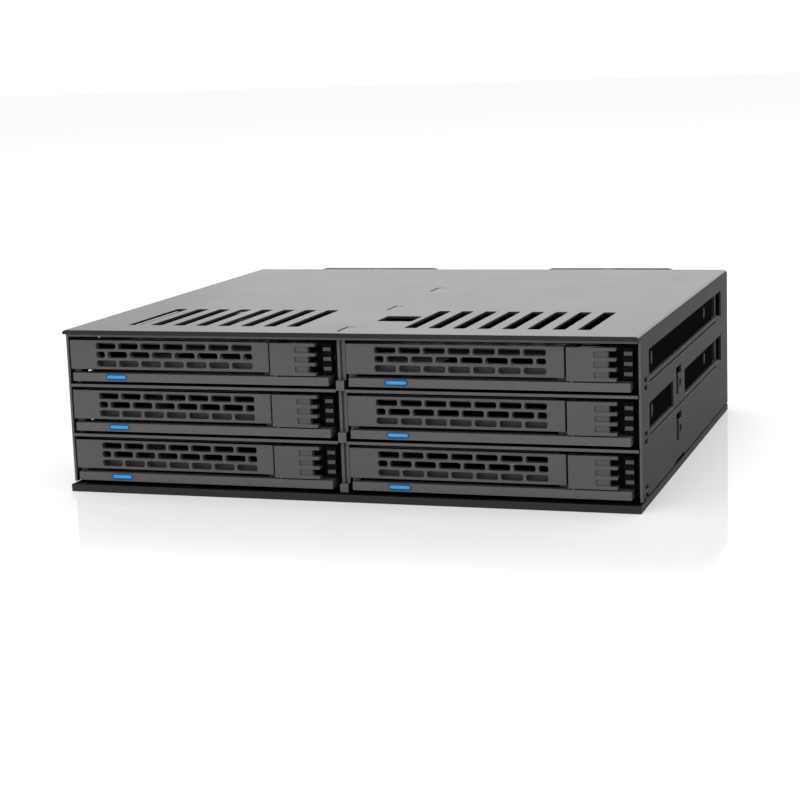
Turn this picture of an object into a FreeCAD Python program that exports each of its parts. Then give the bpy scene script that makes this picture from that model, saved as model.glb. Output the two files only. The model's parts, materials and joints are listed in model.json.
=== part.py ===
"""Hot swap drive cage: six 2.5 inch drive trays in a steel case for one 5.25 inch bay.

The front of the cage faces -Y, +X is to the right of someone who looks at the front, and +Z is
up. The origin is at the middle of the underside. Each piece is drawn in a frame of its own that
starts at the left outer corner of the case (or at the left lower corner of its bay), at the
front edge of the lips, and its body is then placed in the cage.
"""
import FreeCAD, Part
import math
import os
import re
import Sketcher

# Driving sizes in millimetres
SIZES = {
    # The drive that a tray takes, and its seat
    "drive_width": 69.85,
    "drive_height": 7.0,
    "drive_length": 100.45,
    "drive_gap": 0.125,
    "drive_setback": 2.0,
    "head_room": 1.7,
    # Sheet metal
    "wall": 0.7,
    "shelf_sheet": 0.8,
    "tray_side": 0.4,
    "tray_floor": 0.5,
    "tray_side_height": 6.0,
    "tray_gap": 0.15,
    "tray_window_share": 0.7,
    "drive_hole_back": 14.0,
    "drive_hole_front": 90.6,
    "drive_hole_rise": 3.0,
    "divider_width": 2.2,
    # Bay floor, rails and lips
    "base_floor": 2.1,
    "rail_top": 2.7,
    "rail_width": 1.7,
    "rail_thick": 0.8,
    "rail_start": 11.2,
    "rail_end_gap": 2.2,
    "lip_height": 1.1,
    "lip_depth": 2.5,
    "base_lip_height": 1.9,
    "side_setback": 2.0,
    "seam": 0.3,
    "top_flange": 0.75,
    "top_flange_depth": 3.2,
    "corner_radius": 1.0,
    "bend_height": 1.5,
    # Fronts of the bays
    "front_setback": 1.3,
    "face_setback": 1.9,
    "face_thick": 1.8,
    "face_side_gap": 0.4,
    "face_top_gap": 0.85,
    "face_width": 53.5,
    "face_gap": 0.9,
    "bezel_depth": 6.5,
    "bezel_post": 2.0,
    "bezel_wall": 1.3,
    "bezel_right_gap": 0.6,
    "strip_low": 0.7,
    "strip_height": 2.1,
    "strip_inset": 1.1,
    "strip_right_gap": 1.8,
    "strip_depth": 3.2,
    # Air slots in the face
    "slot_width": 5.4,
    "slot_height": 1.6,
    "slot_web": 0.7,
    "slot_radius": 0.6,
    "slot_count": 7,
    "grille_start": 7.2,
    "grille_edge": 0.65,
    "bar_setback": 0.9,
    "bar_cover": 0.75,
    # Release lever, its pin and its latch
    "lever_gap": 0.6,
    "lever_length": 11.7,
    "lever_thick": 1.8,
    "lever_lead": 0.7,
    "lever_clear": 0.3,
    "tine_length": 1.8,
    "tine_height": 0.8,
    "grip_length": 3.4,
    "grip_depth": 0.4,
    "grip_edge": 0.12,
    "pin_radius": 0.5,
    "pin_clearance": 0.05,
    "pin_inset": 1.1,
    "ear_width": 2.5,
    "ear_thick": 0.4,
    "latch_gap": 1.1,
    "latch_width": 2.4,
    "latch_plate": 1.3,
    "latch_clear": 0.3,
    "latch_travel": 1.0,
    "rib_depth": 0.7,
    "rib_height": 0.9,
    "rib_inset": 0.4,
    "stem_width": 1.0,
    "stem_height": 1.2,
    "stem_clear": 0.1,
    # Status light
    "lens_start": 10.2,
    "lens_width": 5.8,
    "lens_height": 1.5,
    "lens_rise": 0.15,
    "lens_proud": 0.15,
    "guide_size": 1.2,
    "guide_gap": 0.8,
    # Backplane and drive sockets
    "socket_width": 42.0,
    "socket_height": 5.0,
    "socket_depth": 7.0,
    "socket_gap": 0.3,
    "socket_lift": 0.9,
    "socket_mouth": 1.4,
    "socket_wall": 1.5,
    "board_thick": 1.6,
    "board_edge": 0.5,
    "rear_space": 13.45,
    # Case: vents, windows and screw holes
    "vent_width": 3.0,
    "vent_pitch": 6.1,
    "vent_length": 30.0,
    "vent_front": 10.0,
    "vent_side": 13.6,
    "vent_count": 8,
    "vent_radius": 0.6,
    "probe_hole": 9.0,
    "probe_front": 21.0,
    "probe_offset": 2.0,
    "tab_slit": 0.5,
    "tab_length": 8.0,
    "tab_front": 3.0,
    "tab_pitch": 38.0,
    "window_height": 6.5,
    "window_end": 119.8,
    "window_notch": 4.8,
    "window_drop": 0.7,
    "pillar_front": 42.5,
    "pillar_width": 16.5,
    "slit_height": 0.5,
    "slit_drop": 1.45,
    "mount_front": 52.4,
    "mount_low": 10.0,
    "mount_high": 21.84,
    "mount_radius": 1.25,
    "key_offset": 5.4,
    "key_rise": 3.5,
    "key_width": 7.0,
    "key_height": 2.0,
    "key_slot": 2.8,
    "key_slot_length": 7.0,
    "catch_front": 5.4,
    "catch_width": 3.2,
    "catch_height": 1.2,
    "catch_low": 0.2,
    # Back panel: fans, ports, switch
    "fan_size": 40.0,
    "fan_thick": 10.0,
    "fan_bore": 19.0,
    "fan_offset": 0.2,
    "fan_hole_pitch": 32.0,
    "fan_hole": 1.75,
    "fan_strut": 1.8,
    "fan_strut_depth": 1.2,
    "motor_radius": 9.5,
    "hub_radius": 9.0,
    "hub_depth": 7.0,
    "hub_gap": 0.9,
    "blade_count": 7,
    "blade_thick": 0.8,
    "blade_chord": 6.0,
    "blade_pitch": 38,
    "blade_tip_gap": 0.9,
    "blade_drop": 2.25,
    "shaft_radius": 1.0,
    "shaft_clearance": 0.05,
    "shaft_end_gap": 0.2,
    "screw_radius": 1.5,
    "screw_head": 2.8,
    "screw_head_height": 1.2,
    "screw_reach": 5.6,
    "screw_end_gap": 1.0,
    "board_screw_head": 2.24,
    "port_width": 13.4,
    "port_height": 6.0,
    "port_pitch_x": 14.2,
    "port_pitch_z": 6.6,
    "port_low": 4.2,
    "port_wall": 1.2,
    "port_mouth": 7.0,
    "tongue_height": 1.2,
    "tongue_side": 1.4,
    "power_width": 25.0,
    "power_height": 6.8,
    "power_pitch": 7.4,
    "port_clear": 0.4,
    "standoff_radius": 2.4,
    "standoff_inset": 8.0,
    "standoff_low": 6.0,
    "switch_width": 8.6,
    "switch_height": 3.6,
    "switch_depth": 4.0,
    "switch_inset": 9.0,
    "knob_width": 2.0,
    "knob_height": 1.4,
    "knob_proud": 1.6,
    "knob_travel": 1.6,
    "knob_clear": 0.15,
}

ROWS = ("lower", "middle", "upper")
COLUMNS = ("left", "right")

# Formulas that several pieces share
TRAY_WIDTH = "(drive_width + 2 * drive_gap + 2 * tray_side)"
BAY_WIDTH = f"({TRAY_WIDTH} + 2 * tray_gap)"
BAY_PITCH = f"({BAY_WIDTH} + divider_width)"
WIDTH = f"(2 * wall + 2 * {BAY_WIDTH} + divider_width)"
ROW_PITCH = "(shelf_sheet + rail_top + tray_floor + drive_height + head_room)"
HEIGHT = f"(base_floor + 3 * {ROW_PITCH} + lip_height)"
DRIVE_FRONT = "(bezel_depth + drive_setback)"
DRIVE_BACK = f"({DRIVE_FRONT} + drive_length)"
BOARD_FRONT = f"({DRIVE_BACK} + socket_gap + socket_depth)"
BOARD_BACK = f"({BOARD_FRONT} + board_thick)"
PANEL_FRONT = f"({BOARD_BACK} + rear_space)"
DEPTH = f"({PANEL_FRONT} + wall)"
FAN_BACK = f"({DEPTH} + fan_thick)"
FRONT = f"(-({FAN_BACK} + screw_head_height) / 2)"
RAIL_END = f"({BOARD_FRONT} - rail_end_gap)"
DIVIDER_LEFT = f"(wall + {BAY_WIDTH})"
STRIP_TOP = "(strip_low + strip_height)"
FACE_LOW = f"({STRIP_TOP} + face_gap)"
FACE_TOP = f"({ROW_PITCH} - shelf_sheet - face_top_gap)"
FACE_RIGHT = "(face_side_gap + face_width)"
LEVER_LEFT = f"({FACE_RIGHT} + lever_gap)"
LEVER_RIGHT = f"({LEVER_LEFT} + lever_length)"
LEVER_LOW = f"({STRIP_TOP} + lever_clear)"
LEVER_FRONT = "(face_setback - lever_lead)"
LEVER_BACK = f"({LEVER_FRONT} + lever_thick)"
PIN_X = f"({LEVER_LEFT} + pin_inset)"
PIN_Y = f"({LEVER_FRONT} + lever_thick / 2)"
TINE_PITCH = f"(({FACE_TOP} - {LEVER_LOW} - tine_height) / 3)"
BEZEL_BACKPLATE = "(bezel_depth - bezel_wall)"
MIDDLE_X = f"({WIDTH} / 2)"
MIDDLE_Z = f"({HEIGHT} / 2)"
BEND_LOW = f"({HEIGHT} - bend_height)"
FAN_REACH = f"({BAY_PITCH} / 2 - fan_offset)"

DOC = FreeCAD.newDocument("drive_cage")
SHEET = DOC.addObject("Spreadsheet::Sheet", "sizes")
NAMES = re.compile(r"[a-z_]+")
EDGE_SLACK = 0.01


def fill_sheet():
    """Write each driving size to a cell of its own, under its name."""
    for line, (name, value) in enumerate(SIZES.items(), start=1):
        SHEET.set(f"A{line}", name)
        SHEET.set(f"B{line}", str(value))
        SHEET.setAlias(f"B{line}", name)
    DOC.recompute()


def cells(formula):
    """Point each size that a formula names at its cell."""
    return NAMES.sub(lambda word: f"sizes.{word.group()}", formula)


def floor_of(row):
    """Height of a bay's floor above the underside of the case."""
    return f"(base_floor + {row} * {ROW_PITCH})"


def bay_left(column):
    """Left inner wall of a bay, from the left side of the case."""
    return f"(wall + {column} * {BAY_PITCH})"


class Piece:
    """One piece of the cage, drawn as a body whose sizes are formulas of the sheet."""

    turns = {
        "x": FreeCAD.Rotation(FreeCAD.Vector(0, 1, 0), 90),
        "y": FreeCAD.Rotation(FreeCAD.Vector(1, 0, 0), -90),
        "z": FreeCAD.Rotation(),
    }
    made = []

    def __init__(self, label, x="0", y="0", z="0"):
        self.body = DOC.addObject("PartDesign::Body", label)
        self.body.Label = label
        self.put(self.body, f"{x} - {WIDTH} / 2", f"{y} + {FRONT}", z)
        self.count = 0
        Piece.made.append(self.body)

    def put(self, thing, x, y, z):
        """Tie the place of a body or a feature to three formulas."""
        for axis, formula in (("x", x), ("y", y), ("z", z)):
            thing.setExpression(f".Placement.Base.{axis}", cells(formula))

    def add(self, kind, name):
        """Start a feature in the body, with a name that no other feature has."""
        self.count += 1
        return self.body.newObject(f"PartDesign::{kind}", f"{self.body.Label}_{name}_{self.count}")

    def box(self, name, x, y, z, cut=False):
        """Add or cut a box between low and high formulas along each axis."""
        block = self.add("SubtractiveBox" if cut else "AdditiveBox", name)
        for size, (low, high) in (("Length", x), ("Width", y), ("Height", z)):
            block.setExpression(size, cells(f"({high}) - ({low})"))
        block.Refine = not cut
        self.put(block, x[0], y[0], z[0])
        return block

    def rod(self, name, axis, centre, span, radius, cut=False):
        """Add or cut a round rod along an axis, about a centre in the two other axes."""
        round_bar = self.add("SubtractiveCylinder" if cut else "AdditiveCylinder", name)
        round_bar.Refine = not cut
        round_bar.setExpression("Radius", cells(radius))
        round_bar.setExpression("Height", cells(f"({span[1]}) - ({span[0]})"))
        round_bar.Placement = FreeCAD.Placement(FreeCAD.Vector(), self.turns[axis])
        place = list(centre)
        place.insert("xyz".index(axis), span[0])
        self.put(round_bar, *place)
        return round_bar

    def slot(self, name, plane, place, width, height, radius, depth):
        """Cut a slot with rounded corners, from a plane of the body inwards.

        On the XZ plane the cut runs along +Y, and on the XY plane it runs along -Z.
        """
        sketch = self.body.newObject("Sketcher::SketchObject", f"{self.body.Label}_{name}_outline")
        origin = next(part for part in self.body.Origin.OriginFeatures if part.Role == plane)
        sketch.AttachmentSupport = [(origin, "")]
        sketch.MapMode = "FlatFace"
        for axis, formula in zip("xyz", place):
            sketch.setExpression(f".AttachmentOffset.Base.{axis}", cells(formula))
        draw_rounded_outline(sketch, width, height, radius)
        pocket = self.add("Pocket", name)
        pocket.Profile = sketch
        pocket.Refine = False
        pocket.setExpression("Length", cells(depth))
        return pocket

    def repeat(self, name, features, axis, step, count, back=False):
        """Repeat features in a line along an axis of the body."""
        pattern = self.add("LinearPattern", name)
        pattern.Originals = features
        pattern.Refine = False
        pattern.Direction = (self.axis(axis), [""])
        pattern.Reversed = back
        pattern.setExpression("Length", cells(f"({step}) * (({count}) - 1)"))
        pattern.setExpression("Occurrences", cells(count))
        self.body.Tip = pattern
        return pattern

    def ring(self, name, features, axis, count):
        """Repeat features round an axis of the body."""
        pattern = self.add("PolarPattern", name)
        pattern.Originals = features
        pattern.Axis = (self.axis(axis), [""])
        pattern.Angle = 360
        pattern.setExpression("Occurrences", cells(count))
        self.body.Tip = pattern
        return pattern

    def axis(self, letter):
        """The body's own X, Y or Z axis."""
        role = f"{letter.upper()}_Axis"
        return next(part for part in self.body.Origin.OriginFeatures if part.Role == role)


def draw_rounded_outline(sketch, width, height, radius):
    """Draw a rounded rectangle about the sketch's origin, held by five constraints."""
    across, up, curve = 1.0, 0.5, 0.2
    inner_x, inner_y = across - curve, up - curve
    corners = ((inner_x, -inner_y), (inner_x, inner_y), (-inner_x, inner_y), (-inner_x, -inner_y))
    line_ends = (
        ((-inner_x, -up), (inner_x, -up)),
        ((across, -inner_y), (across, inner_y)),
        ((inner_x, up), (-inner_x, up)),
        ((-across, inner_y), (-across, -inner_y)),
    )
    quarter = math.pi / 2
    for side in range(4):
        start, end = (FreeCAD.Vector(x, y, 0) for x, y in line_ends[side])
        sketch.addGeometry(Part.LineSegment(start, end))
        centre = FreeCAD.Vector(*corners[side], 0)
        circle = Part.Circle(centre, FreeCAD.Vector(0, 0, 1), curve)
        sketch.addGeometry(Part.ArcOfCircle(circle, (side - 1) * quarter, side * quarter))
    for side in range(4):
        line, arc, next_line = 2 * side, 2 * side + 1, (2 * side + 2) % 8
        sketch.addConstraint(Sketcher.Constraint("Tangent", line, 2, arc, 1))
        sketch.addConstraint(Sketcher.Constraint("Tangent", arc, 2, next_line, 1))
        level = "Vertical" if side % 2 else "Horizontal"
        sketch.addConstraint(Sketcher.Constraint(level, line))
        if side:
            sketch.addConstraint(Sketcher.Constraint("Equal", 1, arc))
    sketch.addConstraint(Sketcher.Constraint("Symmetric", 1, 3, 5, 3, -1, 1))
    driven = (
        (Sketcher.Constraint("Radius", 1, curve), radius),
        (Sketcher.Constraint("DistanceX", 7, 3, 1, 3, 2 * inner_x), f"{width} - 2 * {radius}"),
        (Sketcher.Constraint("DistanceY", 1, 3, 3, 3, 2 * inner_y), f"{height} - 2 * {radius}"),
    )
    for constraint, formula in driven:
        number = sketch.addConstraint(constraint)
        sketch.setExpression(f"Constraints[{number}]", cells(formula))


def both_sides(near, far):
    """The same span measured from the left side and from the right side of the case."""
    return ((near, far), (f"{WIDTH} - ({far})", f"{WIDTH} - ({near})"))


# Case

def make_cover():
    """Top sheet with its lip, its bent-down edges, its air slots and its slits."""
    cover = Piece("cover")
    full = ("0", WIDTH)
    cover.box("top", full, ("0", DEPTH), (f"{HEIGHT} - wall", HEIGHT))
    cover.box("lip", full, ("0", "lip_depth"), (f"{HEIGHT} - lip_height", HEIGHT))
    flange = ("front_setback", "front_setback + top_flange_depth")
    flange_top = f"{HEIGHT} - lip_height"
    cover.box("flange", ("wall", f"{WIDTH} - wall"), flange, (f"{flange_top} - top_flange", flange_top))
    cover.box("flange_web", ("wall", f"{WIDTH} - wall"), ("lip_depth", flange[1]),
              (flange_top, f"{HEIGHT} - wall"))
    for side in both_sides("0", "wall"):
        cover.box("bent_edge", side, ("side_setback", DEPTH), (BEND_LOW, f"{HEIGHT} - wall"))
    round_long_edges(cover)
    cut_vents(cover)
    return cover


def round_long_edges(cover):
    """Round the bends between the top and its bent-down edges."""
    DOC.recompute()
    top = cover.body.Shape.BoundBox.ZMax
    names = []
    base = cover.body.Tip
    for number, edge in enumerate(base.Shape.Edges, start=1):
        box = edge.BoundBox
        at_side = min(abs(box.XMin - base.Shape.BoundBox.XMin), abs(box.XMax - base.Shape.BoundBox.XMax))
        if box.YLength > SIZES["lip_depth"] and box.ZMin > top - EDGE_SLACK and at_side < EDGE_SLACK:
            names.append(f"Edge{number}")
    bend = cover.add("Fillet", "bend")
    bend.Base = (base, names)
    bend.setExpression("Radius", cells("corner_radius"))
    cover.body.Tip = bend


def make_side_wall(side, left):
    """Side sheet under a bent edge of the cover, with windows, screw holes and catches."""
    wall = Piece(f"side_wall_{side}", x=left)
    sheet = ("0", "wall")
    wall.box("sheet", sheet, ("side_setback", DEPTH), ("base_lip_height + seam", BEND_LOW))
    cut_windows(wall, 1, [("rail_start", "pillar_front"), ("pillar_front + pillar_width", "window_end")])
    cut_windows(wall, 2, [("rail_start", "window_end")])
    key_start = "(mount_front - key_offset)"
    for height in ("mount_low", "mount_high"):
        key_top = f"({height} + key_rise + key_height / 2)"
        wall.rod("mount", "x", ("mount_front", height), sheet, "mount_radius", cut=True)
        wall.box("key", sheet, (key_start, f"{key_start} + key_width"),
                 (f"{key_top} - key_height", key_top), cut=True)
        wall.box("key_slot", sheet, (key_start, f"{key_start} + key_slot"),
                 (f"{key_top} - key_slot_length", key_top), cut=True)
    for row in range(3):
        for low in ("catch_low", "strip_height"):
            catch = f"{floor_of(row)} + {low}"
            wall.box("catch", sheet, ("catch_front", "catch_front + catch_width"),
                     (catch, f"{catch} + catch_height"), cut=True)


def cut_windows(wall, row, windows):
    """Cut one row's windows in a side wall, with the slit and the notch of the rail below them."""
    sheet = ("0", "wall")
    rail = f"({floor_of(row)} + rail_top)"
    for window in windows:
        wall.box("window", sheet, window, (rail, f"{rail} + window_height"), cut=True)
    wall.box("slit", sheet, ("rail_start + wall", "window_end - 2 * window_notch"),
             (f"{rail} - slit_drop", f"{rail} - slit_drop + slit_height"), cut=True)
    wall.box("notch", sheet, ("window_end - window_notch", "window_end"),
             (f"{rail} - window_drop", rail), cut=True)


def make_side_rails():
    """Rails of the two upper rows, welded to the side walls."""
    rails = Piece("side_rails")
    for row in (1, 2):
        top = f"({floor_of(row)} + rail_top)"
        for side in both_sides("wall", "wall + rail_width"):
            rails.box("rail", side, ("rail_start", "window_end - window_notch"),
                      (f"{top} - rail_thick", top))


def cut_vents(cover):
    """Cut the two groups of air slots, the square hole and the slits of the divider's tabs."""
    group_width = "(vent_pitch * (vent_count - 1) + vent_width)"
    for name, start in (("left", "vent_side"), ("right", f"{WIDTH} - vent_side - {group_width}")):
        place = (f"{start} + vent_width / 2", "vent_front + vent_length / 2", HEIGHT)
        vent = cover.slot(f"vent_{name}", "XY_Plane", place, "vent_width", "vent_length",
                          "vent_radius", "wall")
        cover.repeat(f"vents_{name}", [vent], "x", "vent_pitch", "vent_count")
    place = (f"{MIDDLE_X} + probe_offset + probe_hole / 2 + divider_width / 2",
             "probe_front + probe_hole / 2", HEIGHT)
    cover.slot("probe", "XY_Plane", place, "probe_hole", "probe_hole", "vent_radius", "wall")
    sheet = (f"{HEIGHT} - wall", HEIGHT)
    tab_back = "tab_front + tab_length"
    long_leg = cover.box("tab_long", (DIVIDER_LEFT, f"{DIVIDER_LEFT} + tab_slit"),
                         ("tab_front", tab_back), sheet, cut=True)
    short_leg = cover.box("tab_short", (DIVIDER_LEFT, f"{DIVIDER_LEFT} + divider_width"),
                          (f"{tab_back} - tab_slit", tab_back), sheet, cut=True)
    cover.repeat("tabs", [long_leg, short_leg], "y", "tab_pitch", "3")


def make_base_tray():
    """Bottom sheet with the lower lip, its edge bands and the rails of the lower row."""
    base = Piece("base_tray")
    full = ("0", WIDTH)
    rail = "(base_floor + rail_top)"
    base.box("floor", full, ("0", DEPTH), ("0", "wall"))
    base.box("lip", full, ("0", "lip_depth"), ("0", "base_lip_height"))
    for side in both_sides("0", "wall"):
        base.box("band", side, ("lip_depth", DEPTH), ("0", "base_lip_height"))
    for side in both_sides("wall", "wall + rail_thick"):
        base.box("upstand", side, ("rail_start", RAIL_END), ("wall", rail))
    for side in both_sides("wall", "wall + rail_width"):
        base.box("rail", side, ("rail_start", RAIL_END), (f"{rail} - rail_thick", rail))
    return base


def make_centre_divider():
    """Folded channel between the two columns, with rails on both sides and front fingers."""
    divider = Piece("centre_divider", x=DIVIDER_LEFT)
    post = "(front_setback + rail_width)"
    top = f"{HEIGHT} - lip_height - top_flange"
    divider.box("channel", ("0", "divider_width"), (post, BOARD_FRONT), ("wall", top))
    divider.box("hollow", ("wall", "divider_width - wall"), (f"{post} + 2 * wall", BOARD_FRONT),
                ("2 * wall", f"{top} - wall"), cut=True)
    divider.box("crest", ("0", "divider_width"), ("front_setback + top_flange_depth", BOARD_FRONT),
                (f"{top} - wall", f"{HEIGHT} - wall"))
    middle = "divider_width / 2"
    divider.box("groove", (f"{middle} - tab_slit / 2", f"{middle} + tab_slit / 2"),
                (post, f"{post} + wall"), ("wall", top), cut=True)
    for row in range(3):
        floor = floor_of(row)
        start = f"{floor} - shelf_sheet / 2" if row else floor
        divider.box("finger", ("0", "divider_width"), ("front_setback", post),
                    (start, f"{floor} + strip_height"))
        rail = f"{floor} + rail_top"
        for side in (("-rail_width", "0"), ("divider_width", "divider_width + rail_width")):
            divider.box("rail", side, ("rail_start", RAIL_END), (f"{rail} - rail_thick", rail))
    return divider


def make_shelf(row, column):
    """Flat sheet under one bay of the two upper rows."""
    label = f"shelf_{ROWS[row]}_{COLUMNS[column]}"
    shelf = Piece(label, x=bay_left(column), z=floor_of(row))
    shelf.box("sheet", ("0", BAY_WIDTH), ("front_setback", BOARD_FRONT), ("-shelf_sheet", "0"))
    return shelf


def make_rear_panel():
    """Back sheet with the fan openings, the port window and the switch slot."""
    panel = Piece("rear_panel")
    sheet = (PANEL_FRONT, DEPTH)
    panel.box("sheet", ("wall", f"{WIDTH} - wall"), sheet, ("wall", f"{HEIGHT} - wall"))
    for centre in (f"{MIDDLE_X} - {FAN_REACH}", f"{MIDDLE_X} + {FAN_REACH}"):
        panel.rod("air", "y", (centre, MIDDLE_Z), sheet, "fan_bore - wall", cut=True)
        for x, z in fan_corners(centre):
            panel.rod("tap", "y", (x, z), sheet, "screw_radius", cut=True)
    half = "(port_pitch_x / 2 + port_width / 2 + port_clear)"
    panel.box("port_window", (f"{MIDDLE_X} - {half}", f"{MIDDLE_X} + {half}"), sheet,
              ("port_low - port_clear", f"{ports_top()} + port_clear"), cut=True)
    for x, z in standoff_places():
        panel.rod("standoff_hole", "y", (x, z), sheet, "screw_radius", cut=True)
    knob = f"{WIDTH} - switch_inset"
    half_slot = "(knob_width / 2 + knob_travel + knob_clear)"
    panel.box("knob_slot", (f"{knob} - {half_slot}", f"{knob} + {half_slot}"), sheet,
              (f"{MIDDLE_Z} - knob_height / 2 - knob_clear", f"{MIDDLE_Z} + knob_height / 2 + knob_clear"),
              cut=True)
    return panel


# Backplane and ports

def ports_top():
    """Top of the upper power socket."""
    return "(port_low + 3 * port_pitch_z + power_pitch + power_height)"


def standoff_places():
    """Places of the four posts between the backplane and the back panel."""
    return [(x, z) for x in ("standoff_inset", f"{WIDTH} - standoff_inset")
            for z in ("standoff_low", f"{HEIGHT} - standoff_low")]


def make_backplane():
    """Circuit board across the whole case, with air windows between the drive sockets."""
    board = Piece("backplane_board")
    span = (BOARD_FRONT, BOARD_BACK)
    board.box("board", ("wall + board_edge", f"{WIDTH} - wall - board_edge"), span,
              ("wall + board_edge", f"{HEIGHT} - wall - board_edge"))
    for x, z in standoff_places():
        board.rod("hole", "y", (x, z), span, "screw_radius", cut=True)
    for row in range(3):
        low = f"{floor_of(row)} + rail_top + socket_lift + socket_height + socket_wall"
        for column in range(2):
            left = f"{bay_left(column)} + {BAY_WIDTH} / 2 - socket_width / 2"
            board.box("air", (left, f"{left} + socket_width"), span,
                      (low, f"{low} + 2 * socket_wall"), cut=True)
    return board


def make_drive_sockets():
    """Six sockets on the front of the backplane, one behind each bay."""
    sockets = Piece("drive_sockets")
    left = f"(wall + {BAY_WIDTH} / 2 - socket_width / 2)"
    low = "(base_floor + rail_top + tray_floor + socket_lift)"
    front = f"({BOARD_FRONT} - socket_depth)"
    shell = sockets.box("shell", (left, f"{left} + socket_width"), (front, BOARD_FRONT),
                        (low, f"{low} + socket_height"))
    mouth = sockets.box("mouth", (f"{left} + socket_wall", f"{left} + socket_width - socket_wall"),
                        (front, f"{BOARD_FRONT} - socket_wall"),
                        (f"{low} + socket_height / 2 - socket_mouth / 2",
                         f"{low} + socket_height / 2 + socket_mouth / 2"), cut=True)
    spread_grid(sockets, [shell, mouth], ("x", BAY_PITCH, "2"), ("z", ROW_PITCH, "3"))
    return sockets


def spread_grid(piece, features, across, up):
    """Repeat features along one axis, and then along a second one."""
    stages = piece.add("MultiTransform", "grid")
    stages.Originals = features
    stages.Refine = False
    lines = []
    for axis, step, count in (across, up):
        line = piece.body.newObject("PartDesign::LinearPattern", f"{piece.body.Label}_line_{axis}")
        line.Direction = (piece.axis(axis), [""])
        line.setExpression("Length", cells(f"({step}) * (({count}) - 1)"))
        line.setExpression("Occurrences", cells(count))
        lines.append(line)
    stages.Transformations = lines
    piece.body.Tip = stages
    return stages


def socket_block(piece, left, low, width, height):
    """Draw one plug socket on the back of the board: a shell, its mouth and its tongue."""
    shell = piece.box("shell", (left, f"{left} + {width}"), (BOARD_BACK, DEPTH), (low, f"{low} + {height}"))
    mouth = piece.box("mouth", (f"{left} + port_wall", f"{left} + {width} - port_wall"),
                      (f"{DEPTH} - port_mouth", DEPTH),
                      (f"{low} + port_wall", f"{low} + {height} - port_wall"), cut=True)
    middle = f"({low} + {height} / 2)"
    tongue = piece.box("tongue", (f"{left} + port_wall + tongue_side",
                                  f"{left} + {width} - port_wall - tongue_side"),
                       (f"{DEPTH} - port_mouth", f"{DEPTH} - wall"),
                       (f"{middle} - tongue_height / 2", f"{middle} + tongue_height / 2"))
    return [shell, mouth, tongue]


def make_data_ports():
    """Six data sockets in two columns, one for each bay."""
    ports = Piece("data_ports")
    left = f"({MIDDLE_X} - port_pitch_x / 2 - port_width / 2)"
    block = socket_block(ports, left, "port_low", "port_width", "port_height")
    spread_grid(ports, block, ("x", "port_pitch_x", "2"), ("z", "port_pitch_z", "3"))
    return ports


def make_power_sockets():
    """Two power sockets above the data sockets."""
    power = Piece("power_sockets")
    low = "(port_low + 3 * port_pitch_z)"
    block = socket_block(power, f"({MIDDLE_X} - power_width / 2)", low, "power_width", "power_height")
    power.repeat("pair", block, "z", "power_pitch", "2")
    return power


def make_standoffs():
    """Four threaded posts, clinched flush into the back panel, that hold the backplane."""
    posts = Piece("board_standoffs")
    thread = (BOARD_BACK, f"{BOARD_FRONT} + screw_reach + screw_end_gap")
    for x, z in standoff_places():
        posts.rod("post", "y", (x, z), (BOARD_BACK, PANEL_FRONT), "standoff_radius")
        posts.rod("clinched_end", "y", (x, z), (PANEL_FRONT, DEPTH), "screw_radius")
        posts.rod("thread", "y", (x, z), thread, "screw_radius", cut=True)
    return posts


def make_board_screws():
    """Screws through the backplane into the posts."""
    screws = Piece("board_screws")
    for x, z in standoff_places():
        screws.rod("shank", "y", (x, z), (BOARD_FRONT, f"{BOARD_FRONT} + screw_reach"), "screw_radius")
        screws.rod("head", "y", (x, z), (f"{BOARD_FRONT} - wall", BOARD_FRONT), "board_screw_head")
    return screws


# Fans and their speed switch

def fan_corners(centre):
    """Places of the four screws of a fan."""
    half = "fan_hole_pitch / 2"
    return [(f"{centre} {sign_x} {half}", f"{MIDDLE_Z} {sign_z} {half}")
            for sign_x in "-+" for sign_z in "-+"]


def make_fan(side, sign):
    """Square fan frame with four struts that carry the motor plate, and its rotor."""
    centre = f"({MIDDLE_X} {sign} {FAN_REACH})"
    frame = Piece(f"fan_frame_{side}")
    half = "fan_size / 2"
    deep = (DEPTH, FAN_BACK)
    frame.box("block", (f"{centre} - {half}", f"{centre} + {half}"), deep,
              (f"{MIDDLE_Z} - {half}", f"{MIDDLE_Z} + {half}"))
    frame.rod("bore", "y", (centre, MIDDLE_Z), deep, "fan_bore", cut=True)
    rear = (f"{FAN_BACK} - fan_strut_depth", FAN_BACK)
    thin = "fan_strut / 2"
    long = "(fan_bore + wall / 2)"
    frame.box("strut_level", (f"{centre} - {long}", f"{centre} + {long}"), rear,
              (f"{MIDDLE_Z} - {thin}", f"{MIDDLE_Z} + {thin}"))
    frame.box("strut_upright", (f"{centre} - {thin}", f"{centre} + {thin}"), rear,
              (f"{MIDDLE_Z} - {long}", f"{MIDDLE_Z} + {long}"))
    frame.rod("motor", "y", (centre, MIDDLE_Z), rear, "motor_radius")
    frame.rod("bearing", "y", (centre, MIDDLE_Z), rear, "shaft_radius + shaft_clearance", cut=True)
    for x, z in fan_corners(centre):
        frame.rod("hole", "y", (x, z), deep, "fan_hole", cut=True)
    make_rotor(side, centre)
    return frame


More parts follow.
